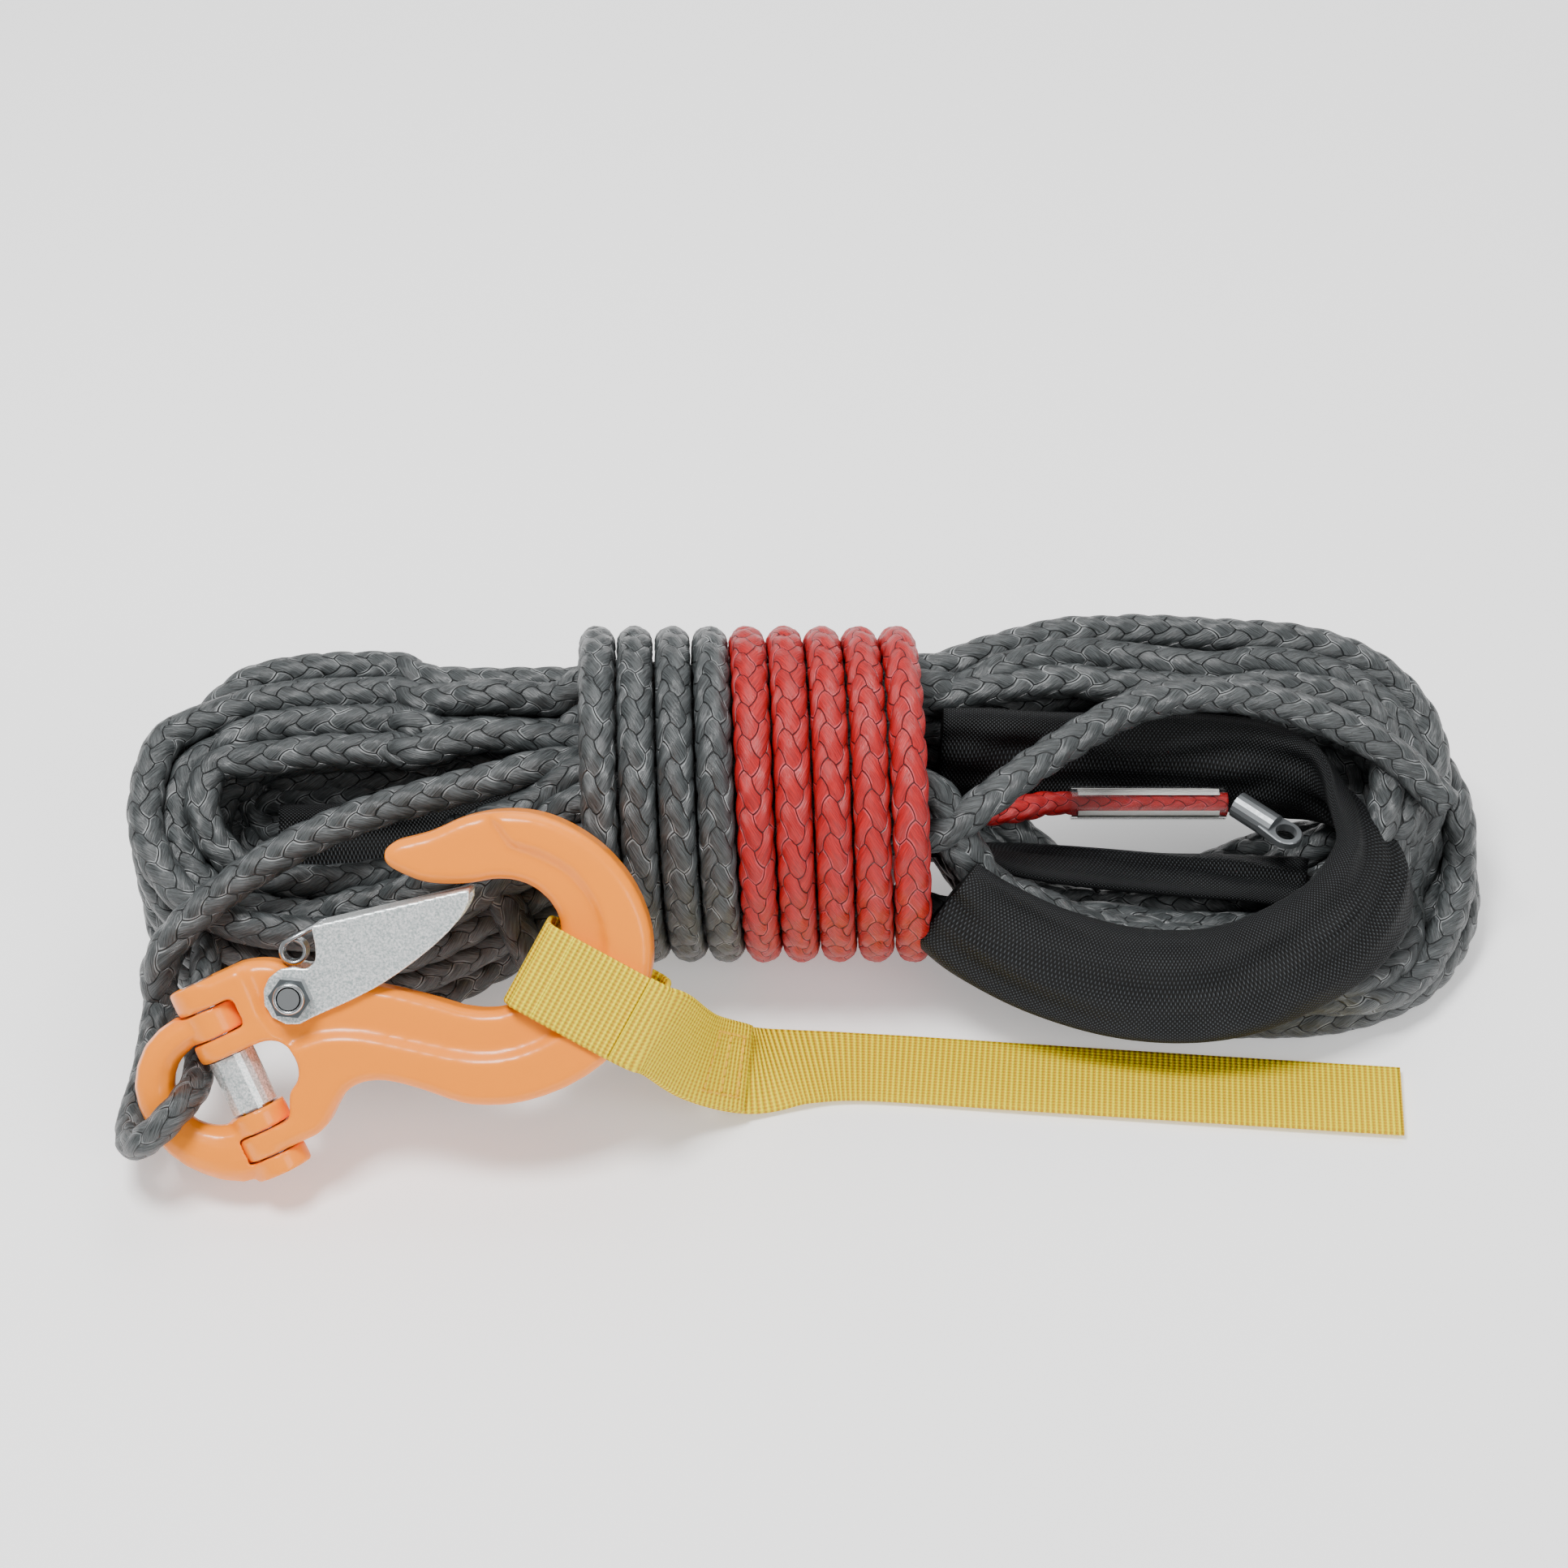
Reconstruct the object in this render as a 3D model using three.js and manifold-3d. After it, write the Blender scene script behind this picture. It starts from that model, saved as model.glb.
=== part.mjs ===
// Hank of synthetic winch rope with its hook, protective sleeve, winch-end lug and pull strap.
// Millimetres, +Z up. X runs along the hank, Y from its front to its back, Z is height over the floor.

import * as THREE from 'three';
import { mergeVertices } from 'three/addons/utils/BufferGeometryUtils.js';
import Module from 'manifold-3d';

const wasm = await Module();
wasm.setup();

// Driving dimensions of the rope and its hank.
const ROPE = 10;
const EYE_ROPE = 8.4;
const GAP = 0.3;
const TURN_GAP = 0.78;
const GREY_TURNS = 4;
const RED_TURNS = 5;
const WAIST_RADIUS = 38.3;
const LEFT_END = -179;
const RIGHT_END = 217;
const LEFT_BACK = 46.5;
const LEFT_FRONT = 46;
const RIGHT_BACK = 61;
const RIGHT_FRONT = 52;
const LEFT_HEIGHT = 63;
const RIGHT_HEIGHT = 68;
const FRONT_HEIGHT = 38;
const BACK_WIDE = 39;
const FRONT_WIDE = 40;
const FLOOR_GAP = 0.8;
const STRANDS_ROUND = 14;
const GROOVE = 1.6;

// Driving dimensions of the sleeve, the tail and the pull strap.
const SLEEVE_WIDTH = 32;
const SLEEVE_THICK = 7;
const INNER_WIDTH = 22;
const INNER_THICK = 5;
const TAIL_ROPE = 6.4;
const SHRINK_DIAMETER = 9.8;
const SHRINK_WALL = 0.6;
const SHRINK_LENGTH = 47;
const LABEL_THICK = 0.4;
const LABEL_LENGTH = 41;
const LABEL_SLOT = 4.4;
const LUG_BARREL = 8;
const LUG_SEAT = 2.5;
const LUG_LENGTH = 22;
const LUG_PALM_THICK = 2.6;
const LUG_HOLE = 6.4;
const STRAP_WIDTH = 25;
const STRAP_THICK = 1.6;
const STRAP_CLEAR = 0.5;
const STRAP_TAIL_END = 185;
const STRAP_SIDE = 49.5;

// Driving dimensions of the hook, its half link and its latch.
const HOOK_LEAN = 50;
const HOOK_YAW = 24.6;
const PIN_PLACE = [-138.7, -92.0, 30.8];
const HOOK_THICK = 18;
const THROAT_THICK = 13;
const HOOK_BEVEL = 2;
const PIN_DIAMETER = 9.2;
const PIN_CLEAR = 0.3;
const EAR_DIAMETER = 17;
const KNUCKLE_DIAMETER = 16;
const SIDE_CLEAR = 0.35;
const EAR_TOP = 29;
const KNUCKLE_TOP = 21.6;
const EAR_INNER = 13.1;
const WINDOW_TOP = 7.4;
const WINDOW_BOTTOM = -8.9;
const EAR_LOWER_TOP = -15.3;
const EAR_LOWER_BOTTOM = -22.2;
const KNUCKLE_BOTTOM = -28;
const PIN_SLEEVE_DIAMETER = 13;
const LINK_THICK = 12;
const LATCH_PIVOT = [23.6, 15.2];
const LATCH_BOSS = 8;
const LATCH_SHEET = 1.5;
const LATCH_INSIDE = 14.2;
const BOLT_DIAMETER = 6;
const NUT_ACROSS = 10;
const NUT_HEIGHT = 5;
const BOLT_HEAD_HEIGHT = 4;
const SPRING_WIRE = 1.5;
const SPRING_COIL = 8;

// Sides and steps of the round pieces.
const ROPE_SIDES = 8;
const STEPS_A_TURN = 16;
const LOBE_STEPS = 28;
const SLEEVE_STEPS = 32;

// Sizes that follow from those above.
const pitch = ROPE + TURN_GAP;
const wrapRadius = (WAIST_RADIUS + GAP + ROPE / 2) / Math.cos(Math.PI / STEPS_A_TURN);
const waistHeight = wrapRadius + ROPE / 2;
const wrapHalf = (GREY_TURNS + RED_TURNS) * pitch / 2;
const wrapEnd = wrapHalf + ROPE / 2 + GAP;
const waistEnd = wrapEnd + ROPE / 2;
const latchOutside = LATCH_INSIDE + 2 * LATCH_SHEET;
const pinBore = PIN_DIAMETER + PIN_CLEAR * 2;

const colours = {
  rope: { color: 0x4b4e50, roughness: 0.5, metalness: 0.05 },
  redRope: { color: 0xc3202a, roughness: 0.5, metalness: 0.05 },
  sleeve: { color: 0x141518, roughness: 0.8, metalness: 0 },
  orange: { color: 0xf39220, roughness: 0.35, metalness: 0 },
  zinc: { color: 0xb9bec2, roughness: 0.35, metalness: 0.9 },
  lug: { color: 0x8d9296, roughness: 0.4, metalness: 0.9 },
  strap: { color: 0xf4d813, roughness: 0.6, metalness: 0 },
  shrink: { color: 0xe9e6e2, roughness: 0.15, metalness: 0 },
  label: { color: 0xf1efec, roughness: 0.7, metalness: 0 },
};

const hank = new THREE.Group();

function vector(values) {
  return new THREE.Vector3(values[0], values[1], values[2]);
}

function weld(geometry) {
  const bare = geometry.index ? geometry.toNonIndexed() : geometry.clone();
  bare.deleteAttribute('normal');
  bare.deleteAttribute('uv');
  return mergeVertices(bare, 1e-4);
}

function solidOf(geometry) {
  const welded = weld(geometry);
  return new wasm.Manifold(new wasm.Mesh({
    numProp: 3,
    vertProperties: new Float32Array(welded.attributes.position.array),
    triVerts: new Uint32Array(welded.index.array),
  }));
}

function geometryOf(solid) {
  const mesh = solid.getMesh();
  const geometry = new THREE.BufferGeometry();
  geometry.setAttribute('position', new THREE.BufferAttribute(mesh.vertProperties, 3));
  geometry.setIndex(new THREE.BufferAttribute(mesh.triVerts, 1));
  return geometry;
}

function addPiece(parent, name, geometry, finish) {
  const shaded = geometry.clone();
  shaded.computeVertexNormals();
  const piece = new THREE.Mesh(shaded, new THREE.MeshStandardMaterial(finish));
  piece.name = name;
  parent.add(piece);
  return piece;
}

// A closed skin over sections that are set square to a path. Each station gives the path's point, the way that
// the section's width points and whatever the section needs; between stations the values run smoothly.
function loft(stations, steps, sectionAt) {
  const centres = new THREE.CatmullRomCurve3(stations.map((station) => vector(station.at)), false, 'centripetal');
  const spans = stations.slice(1).map((station, i) => vector(station.at).distanceTo(vector(stations[i].at)));
  const total = spans.reduce((sum, span) => sum + span, 0);
  const places = [0];
  spans.forEach((span, i) => {
    const parts = Math.max(1, Math.round(steps * span / total));
    for (let part = 1; part <= parts; part += 1) {
      places.push(i + part / parts);
    }
  });
  const rings = places.map((place) => {
    const span = Math.min(Math.floor(place), stations.length - 2);
    const share = place - span;
    const along = place / (stations.length - 1);
    const centre = centres.getPoint(along);
    const tangent = centres.getTangent(along);
    const eased = share * share * (3 - 2 * share);
    const wide = vector(stations[span].wide).lerp(vector(stations[span + 1].wide), eased);
    wide.addScaledVector(tangent, -wide.dot(tangent)).normalize();
    const deep = new THREE.Vector3().crossVectors(tangent, wide).normalize();
    const values = stations[span].size.map((value, i) => {
      return value + (stations[span + 1].size[i] - value) * eased;
    });
    return sectionAt(values).map(([w, d]) => {
      return centre.clone().addScaledVector(wide, w).addScaledVector(deep, d);
    });
  });
  return skin(rings);
}

function skin(rings) {
  const around = rings[0].length;
  const points = [];
  const faces = [];
  rings.forEach((ring) => ring.forEach((point) => points.push(point)));
  for (let r = 0; r < rings.length - 1; r += 1) {
    for (let i = 0; i < around; i += 1) {
      const next = (i + 1) % around;
      const a = r * around + i;
      const b = r * around + next;
      const c = (r + 1) * around + next;
      const d = (r + 1) * around + i;
      faces.push(a, b, c, a, c, d);
    }
  }
  [0, rings.length - 1].forEach((r) => {
    const middle = new THREE.Vector3();
    rings[r].forEach((point) => middle.addScaledVector(point, 1 / around));
    points.push(middle);
    const hub = points.length - 1;
    for (let i = 0; i < around; i += 1) {
      const a = r * around + i;
      const b = r * around + (i + 1) % around;
      faces.push(...(r === 0 ? [hub, b, a] : [hub, a, b]));
    }
  });
  const geometry = new THREE.BufferGeometry();
  geometry.setAttribute('position', new THREE.BufferAttribute(
    new Float32Array(points.flatMap((point) => point.toArray())), 3));
  geometry.setIndex(faces);
  return geometry;
}

function roundSection(radius, sides) {
  return Array.from({ length: sides }, (_, i) => {
    const angle = i / sides * Math.PI * 2;
    return [Math.cos(angle) * radius, Math.sin(angle) * radius];
  });
}

function tube(points, radius, sides, steps) {
  const stations = points.map((at) => ({ at, wide: [0, 0, 1], size: [radius] }));
  return loft(stations, steps, ([r]) => roundSection(r, sides));
}

// A plate of an outline, centred on z = 0, with its rims rounded by the bevel.
function plate(shape, thickness, bevel, curveSegments = 6) {
  const geometry = new THREE.ExtrudeGeometry(shape, {
    depth: thickness - 2 * bevel,
    bevelEnabled: bevel > 0,
    bevelThickness: bevel,
    bevelSize: bevel,
    bevelOffset: -bevel,
    bevelSegments: 1,
    curveSegments,
  });
  geometry.translate(0, 0, -(thickness - 2 * bevel) / 2);
  return geometry;
}

// A round bar about the pin axis, which is the hook's own Y, from one height to another.
function pinBar(diameter, low, high, sides = 22) {
  const geometry = new THREE.CylinderGeometry(diameter / 2, diameter / 2, high - low, sides);
  geometry.translate(0, (low + high) / 2, 0);
  return geometry;
}

// Rope loops. Half of the waist is the half disc of the back run, the other half that of the front run.
const halfDiscCentre = WAIST_RADIUS * 0.42;

function bundleSection([halfWidth, halfHeight, disc]) {
  const count = STRANDS_ROUND * 2;
  return Array.from({ length: count }, (_, i) => {
    const angle = (i + 0.5) / count * Math.PI * 2;
    const c = Math.cos(angle);
    const s = Math.sin(angle);
    const round = (Math.abs(c / halfWidth) ** 3 + Math.abs(s / halfHeight) ** 3) ** (-1 / 3);
    const rim = -halfDiscCentre * c + Math.sqrt(WAIST_RADIUS ** 2 - (halfDiscCentre * s) ** 2);
    const flat = c < 0 ? (halfDiscCentre - GAP / 2) / -c : Infinity;
    const full = round + (Math.min(rim, flat) - round) * disc;
    const groove = i % 2 === 1 ? GROOVE * (1 - disc) : 0;
    return [c * (full - groove), s * (full - groove)];
  });
}

function lobe(side, end, back, front, height, endHalf) {
  const waistX = side * waistEnd;
  const halfBack = BACK_WIDE / 2;
  const halfFront = FRONT_WIDE / 2;
  const backY = back - halfBack;
  const frontY = -front + halfFront;
  const backZ = height / 2 + FLOOR_GAP;
  const frontZ = FRONT_HEIGHT / 2 + FLOOR_GAP;
  const turnX = end - side * (endHalf + (backY - frontY) / 2);
  const turnY = (backY + frontY) / 2;
  const reach = Math.abs(end - turnX) - endHalf;
  const halfTurn = (height + FRONT_HEIGHT) / 4;
  const midZ = halfTurn + FLOOR_GAP;
  const diagonal = Math.SQRT1_2;
  const stations = [
    { at: [side * GAP / 2, halfDiscCentre, waistHeight], wide: [0, 1, 0], size: [20, 30, 1] },
    { at: [side * wrapEnd, halfDiscCentre, waistHeight], wide: [0, 1, 0], size: [20, 30, 1] },
    { at: [waistX, halfDiscCentre, waistHeight], wide: [0, 1, 0], size: [20, 30, 1] },
    { at: [waistX + side * 28, (halfDiscCentre + backY) / 2 + 2, (waistHeight + backZ) / 2],
      wide: [0, 1, 0], size: [halfBack + 1, height / 2 + 1, 0.25] },
    { at: [waistX + side * 56, backY, backZ], wide: [0, 1, 0], size: [halfBack, height / 2, 0] },
    { at: [turnX, backY, backZ], wide: [0, 1, 0], size: [halfBack, height / 2, 0] },
    { at: [turnX + side * reach * diagonal, turnY + (backY - turnY) * diagonal, (backZ + midZ) / 2],
      wide: [side * diagonal, diagonal, 0], size: [endHalf + 1, (height / 2 + halfTurn) / 2, 0] },
    { at: [turnX + side * reach, turnY, midZ], wide: [side, 0, 0], size: [endHalf, halfTurn, 0] },
    { at: [turnX + side * reach * diagonal, turnY + (frontY - turnY) * diagonal, (frontZ + midZ) / 2],
      wide: [side * diagonal, -diagonal, 0], size: [endHalf, (halfTurn + FRONT_HEIGHT / 2) / 2, 0] },
    { at: [turnX, frontY, frontZ], wide: [0, -1, 0], size: [halfFront, FRONT_HEIGHT / 2, 0] },
    { at: [waistX + side * 56, frontY, frontZ], wide: [0, -1, 0], size: [halfFront, FRONT_HEIGHT / 2, 0] },
    { at: [waistX + side * 28, frontY, (frontZ + waistHeight) / 2 + 1], wide: [0, -1, 0],
      size: [halfFront + 1, FRONT_HEIGHT / 2 + 9, 0.2] },
    { at: [waistX, -halfDiscCentre, waistHeight], wide: [0, -1, 0], size: [20, 30, 1] },
    { at: [side * wrapEnd, -halfDiscCentre, waistHeight], wide: [0, -1, 0], size: [20, 30, 1] },
    { at: [side * GAP / 2, -halfDiscCentre, waistHeight], wide: [0, -1, 0], size: [20, 30, 1] },
  ];
  return loft(stations, LOBE_STEPS, bundleSection);
}


// The wrap round the waist: grey turns, then red turns, laid side by side.
function wrap(firstTurn, turns) {
  const stations = [];
  const margin = 0.06;
  const steps = turns * STEPS_A_TURN;
  for (let i = 0; i <= steps; i += 1) {
    const turn = firstTurn + margin + (turns - 2 * margin) * i / steps;
    const angle = Math.PI / 2 + turn * Math.PI * 2;
    const outward = [0, Math.cos(angle), Math.sin(angle)];
    stations.push({
      at: [-wrapHalf + turn * pitch, outward[1] * wrapRadius, waistHeight + outward[2] * wrapRadius],
      wide: outward,
      size: [ROPE / 2],
    });
  }
  return loft(stations, steps, ([radius]) => roundSection(radius, ROPE_SIDES));
}

addPiece(hank, 'wrap_grey', wrap(0, GREY_TURNS), colours.rope);
addPiece(hank, 'wrap_red', wrap(GREY_TURNS, RED_TURNS), colours.redRope);

// The black sleeve is a flat fabric tube. It shows as a wide run round the right loops, a narrow run inside them
// and a run inside the left loops.
function flatSection([halfWidth, halfThick]) {
  const count = 12;
  return Array.from({ length: count }, (_, i) => {
    const angle = (i + 0.5) / count * Math.PI * 2;
    const c = Math.cos(angle);
    const s = Math.sin(angle);
    return [Math.sign(c) * Math.abs(c) ** 0.7 * halfWidth, s * halfThick];
  });
}

function sleeve(points, width, thick, steps, grown = 0) {
  const size = [width / 2 + grown, thick / 2 + grown];
  const stations = points.map(([at, wide]) => ({ at, wide, size }));
  return loft(stations, steps, flatSection);
}

const sleeveStart = wrapEnd + 1;
const wideRun = [
  [[sleeveStart, 12.5, 54], [0, 0.1, 1]],
  [[78, 12.5, 53], [0, 0.2, 1]],
  [[110, 13, 51], [0, 0.1, 1]],
  [[140, 13, 49], [0, 0.1, 1]],
  [[163, 8, 46], [0.1, 0.1, 1]],
  [[177, -6, 42], [0.2, 0, 1]],
  [[181, -22, 40], [0.5, 0.1, 1]],
  [[172, -40, 39], [0.6, -0.6, 0.6]],
  [[155, -51, 36], [0.3, -1, 0.1]],
  [[132, -56.5, 29], [0, -0.75, 0.66]],
  [[108, -57, 26], [0, -0.6, 0.8]],
  [[85, -53, 30], [0, -0.6, 0.8]],
  [[66, -46, 38], [0, -0.5, 0.86]],
  [[sleeveStart, -40, 46], [0, -0.3, 0.95]],
];
const innerRun = [
  [[sleeveStart, -20, 47], [0, -0.7, 0.7]],
  [[76, -15, 38], [0, -0.9, 0.4]],
  [[112, -13, 31], [0, -1, 0.3]],
  [[145, -14, 29], [0.2, -1, 0.2]],
  [[161, -17, 30], [0.4, -1, 0.2]],
];
const leftRun = [
  [[-sleeveStart, -14, 46], [0, -0.6, 0.8]],
  [[-75, -10, 38], [0, -0.6, 0.8]],
  [[-100, -8, 33], [0, -0.6, 0.8]],
  [[-124, -6, 31], [-0.1, -0.6, 0.8]],
  [[-136, -4, 30], [-0.2, -0.6, 0.8]],
];
addPiece(hank, 'protective_sleeve', sleeve(wideRun, SLEEVE_WIDTH, SLEEVE_THICK, SLEEVE_STEPS), colours.sleeve);
addPiece(hank, 'sleeve_run_right', sleeve(innerRun, INNER_WIDTH, INNER_THICK, 12), colours.sleeve);
addPiece(hank, 'sleeve_run_left', sleeve(leftRun, SLEEVE_WIDTH, INNER_THICK, 10), colours.sleeve);

// The loose strand that crosses the front of the right loops.
const strandRight = [
  [sleeveStart + ROPE / 2, -29, 66],
  [66, -24, 69],
  [87, -6, 73],
  [111, 10, 75],
  [135, 15, 75],
  [160, 12, 71],
  [184, 5, 62],
  [201, -4, 49],
];
addPiece(hank, 'front_strand', tube(strandRight, ROPE / 2, ROPE_SIDES, 24), colours.rope);

// The red tail lies on the inner run of the sleeve. It passes through a clear shrink tube, which holds a slit paper
// label against it, and ends in a crimped lug.
const tailHeight = 45;
const tailSide = 1;
const tailEnd = 92;
const shrinkEnd = tailEnd + SHRINK_LENGTH;
const tailLine = [
  [68, tailSide - 5.5, tailHeight + 1],
  [74, tailSide - 4, tailHeight + 1],
  [84, tailSide - 0.5, tailHeight],
  [tailEnd, tailSide, tailHeight],
  [shrinkEnd - GAP, tailSide, tailHeight],
];
addPiece(hank, 'red_tail', tube(tailLine, TAIL_ROPE / 2, 12, 12), colours.redRope);

function pipe(inner, outer, length, sides) {
  const wall = solidOf(new THREE.CylinderGeometry(outer, outer, length, sides).rotateZ(Math.PI / 2));
  return wall.subtract(solidOf(new THREE.CylinderGeometry(inner, inner, length + 2, sides).rotateZ(Math.PI / 2)));
}

const shrinkMiddle = [(tailEnd + shrinkEnd) / 2, tailSide, tailHeight];
const shrinkInner = SHRINK_DIAMETER / 2 - SHRINK_WALL;
const shrinkTube = geometryOf(pipe(shrinkInner, SHRINK_DIAMETER / 2, SHRINK_LENGTH - 2, 18));
addPiece(hank, 'heat_shrink', shrinkTube.translate(...shrinkMiddle), colours.shrink);
const slot = new THREE.BoxGeometry(LABEL_LENGTH + 1, SHRINK_DIAMETER, LABEL_SLOT);
slot.translate(0, -SHRINK_DIAMETER / 2, 0).rotateX(-Math.PI / 4);
const labelOuter = shrinkInner - GAP;
const labelSolid = pipe(labelOuter - LABEL_THICK, labelOuter, LABEL_LENGTH, 18).subtract(solidOf(slot));
addPiece(hank, 'label', geometryOf(labelSolid).translate(...shrinkMiddle), colours.label);

// The lug: a barrel crimped on the red strands, flattened into a palm with a hole for the drum bolt.
const lug = new THREE.Group();
lug.position.set(shrinkEnd + LUG_SEAT, 0.5, tailHeight);
lug.rotation.set(0, 0.1, -0.72);
hank.add(lug);
const palmShape = new THREE.Shape();
palmShape.moveTo(LUG_LENGTH * 0.45, -LUG_BARREL / 2);
palmShape.lineTo(LUG_LENGTH - LUG_BARREL * 0.6, -LUG_BARREL * 0.6);
palmShape.absarc(LUG_LENGTH - LUG_BARREL * 0.6, 0, LUG_BARREL * 0.6, -Math.PI / 2, Math.PI / 2, false);
palmShape.lineTo(LUG_LENGTH * 0.45, LUG_BARREL / 2);
palmShape.closePath();
const palmHole = new THREE.CylinderGeometry(LUG_HOLE / 2, LUG_HOLE / 2, LUG_BARREL, 20);
palmHole.rotateX(Math.PI / 2);
palmHole.translate(LUG_LENGTH - LUG_BARREL * 0.6, 0, 0);
const barrel = new THREE.CylinderGeometry(LUG_BARREL / 2, LUG_BARREL / 2, LUG_LENGTH * 0.6, 18);
barrel.rotateZ(Math.PI / 2);
barrel.translate(LUG_LENGTH * 0.3, 0, 0);
const lugSolid = solidOf(plate(palmShape, LUG_PALM_THICK, 0.3)).subtract(solidOf(palmHole)).add(solidOf(barrel));
addPiece(lug, 'drum_lug', geometryOf(lugSolid), colours.lug);

// The frame of the hook: X is its line of pull, Y the pin's axis, Z stands square to its face.
const hook = new THREE.Group();
hook.position.fromArray(PIN_PLACE);
hook.rotation.set(THREE.MathUtils.degToRad(HOOK_LEAN), 0, THREE.MathUtils.degToRad(HOOK_YAW));
hank.add(hook);
hank.updateMatrixWorld(true);

const innerRim = [[26, 20], [33.5, 14], [44.7, 8.1], [56.7, -1.2], [66, -9], [76, -12.5], [87, -9], [95.5, -1.5],
  [98, 6], [95.2, 14.5], [88.5, 20.2], [79.8, 22.7], [72.6, 25.8], [67.6, 29.1], [63.3, 33.8]];
const outerRim = [[66.6, 41.5], [75.8, 39.8], [84.5, 39.8], [92.5, 38.3], [99.8, 35.3], [106.3, 30.9],
  [112, 24.5], [116.8, 16.3], [119.8, 6.2], [120.1, -3.7], [118.2, -12.5], [113.5, -21.5], [104.5, -31],
  [93, -36.7], [80, -38.6], [67.1, -37.2], [57.8, -33.7], [51.9, -30], [45.9, -24.2], [40.5, -19.4],
  [35.6, -16], [30, -14.2], [25, -15], [20.5, -18], [17, -21]];
const ledge = [[17.3, 3.5], [27, 2.5], [36.5, -1.8], [47.9, -10.2], [60, -19], [71, -23.3], [84, -23.6], [96, -19.5],
  [104.5, -10], [107.8, 1], [106.3, 12.6], [101, 21], [94, 27.5]];

function splineThrough(shape, points) {
  shape.splineThru(points.map(([x, y]) => new THREE.Vector2(x, y)));
}

function hookOutline() {
  const shape = new THREE.Shape();
  shape.moveTo(0, EAR_LOWER_BOTTOM);
  shape.lineTo(0, EAR_TOP);
  shape.lineTo(9, EAR_TOP);
  splineThrough(shape, [[14.5, 28.9], [20, 27], [23.6, 24.5], [26, 20]]);
  splineThrough(shape, innerRim.slice(1));
  splineThrough(shape, [[61.2, 37.3], [62.5, 40.6], [66.6, 41.5]]);
  splineThrough(shape, outerRim.slice(1));
  shape.lineTo(13.5, EAR_LOWER_BOTTOM);
  shape.closePath();
  return shape;
}

function raisedOutline() {
  const shape = new THREE.Shape();
  shape.moveTo(0, EAR_LOWER_BOTTOM);
  shape.lineTo(0, EAR_TOP);
  shape.lineTo(14, EAR_TOP);
  shape.lineTo(15.2, 25);
  shape.lineTo(14.6, 14);
  shape.lineTo(17.3, 3.5);
  splineThrough(shape, ledge.slice(1));
  shape.lineTo(92.5, 38.3);
  splineThrough(shape, outerRim.slice(4));
  shape.lineTo(13.5, EAR_LOWER_BOTTOM);
  shape.closePath();
  return shape;
}

function windowShape() {
  const shape = new THREE.Shape();
  shape.moveTo(-20, WINDOW_BOTTOM);
  shape.lineTo(-20, WINDOW_TOP);
  shape.lineTo(8, WINDOW_TOP);
  splineThrough(shape, [[13, 6.6], [16, 3.6], [16.9, -1], [15.4, -6], [11.5, -8.4]]);
  shape.lineTo(KNUCKLE_DIAMETER / 2 + SIDE_CLEAR, EAR_LOWER_TOP);
  shape.lineTo(-20, EAR_LOWER_TOP);
  shape.closePath();
  return shape;
}

const slotReach = KNUCKLE_DIAMETER + 2 * SIDE_CLEAR;
const forkSolid = solidOf(plate(hookOutline(), THROAT_THICK, HOOK_BEVEL, 2))
  .add(solidOf(plate(raisedOutline(), HOOK_THICK, HOOK_BEVEL, 2)))
  .add(solidOf(pinBar(EAR_DIAMETER, EAR_LOWER_BOTTOM, EAR_TOP)))
  .subtract(solidOf(plate(windowShape(), HOOK_THICK * 2, 0, 5)))
  .subtract(solidOf(pinBar(slotReach, EAR_LOWER_TOP, WINDOW_TOP)))
  .subtract(solidOf(new THREE.BoxGeometry(slotReach + 20, KNUCKLE_TOP - EAR_INNER, HOOK_THICK * 2)
    .translate(-10, (KNUCKLE_TOP + EAR_INNER) / 2, 0)))
  .subtract(solidOf(pinBar(pinBore, EAR_LOWER_BOTTOM - 1, EAR_TOP + 1)));

// The half link: a forged bow whose knuckles sit between the hook's ears.
function barSection([halfWidth, halfThick]) {
  const count = 12;
  return Array.from({ length: count }, (_, i) => {
    const angle = (i + 0.5) / count * Math.PI * 2;
    const c = Math.cos(angle);
    const d = Math.sin(angle);
    const reach = (Math.abs(c / halfWidth) ** 2.6 + Math.abs(d / halfThick) ** 2.6) ** (-1 / 2.6);
    return [c * reach, d * reach];
  });
}

const halfLink = LINK_THICK / 2;
const topKnuckle = (KNUCKLE_TOP + EAR_INNER) / 2;
const lowKnuckle = (KNUCKLE_BOTTOM + WINDOW_BOTTOM) / 2;
const topHalf = (KNUCKLE_TOP - EAR_INNER) / 2 - SIDE_CLEAR;
const lowHalf = (WINDOW_BOTTOM - KNUCKLE_BOTTOM) / 2 - SIDE_CLEAR;
const linkBow = loft([
  { at: [0, topKnuckle, 0], wide: [0, 1, 0], size: [topHalf, halfLink] },
  { at: [-9, topKnuckle + 0.5, 0], wide: [0, 1, 0], size: [topHalf + 0.8, halfLink] },
  { at: [-17, 15, 0], wide: [-0.6, 0.8, 0], size: [5.2, halfLink] },
  { at: [-22.5, 8, 0], wide: [-0.9, 0.4, 0], size: [5.5, halfLink] },
  { at: [-23.5, 0, 0], wide: [-1, 0, 0], size: [5.5, halfLink] },
  { at: [-21.5, -8, 0], wide: [-0.9, -0.4, 0], size: [6, halfLink] },
  { at: [-16, -14.5, 0], wide: [-0.7, -0.7, 0], size: [7, halfLink] },
  { at: [-9, lowKnuckle + 0.3, 0], wide: [0, -1, 0], size: [lowHalf - 0.6, halfLink] },
  { at: [0, lowKnuckle, 0], wide: [0, -1, 0], size: [lowHalf, halfLink] },
], 16, barSection);

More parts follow.
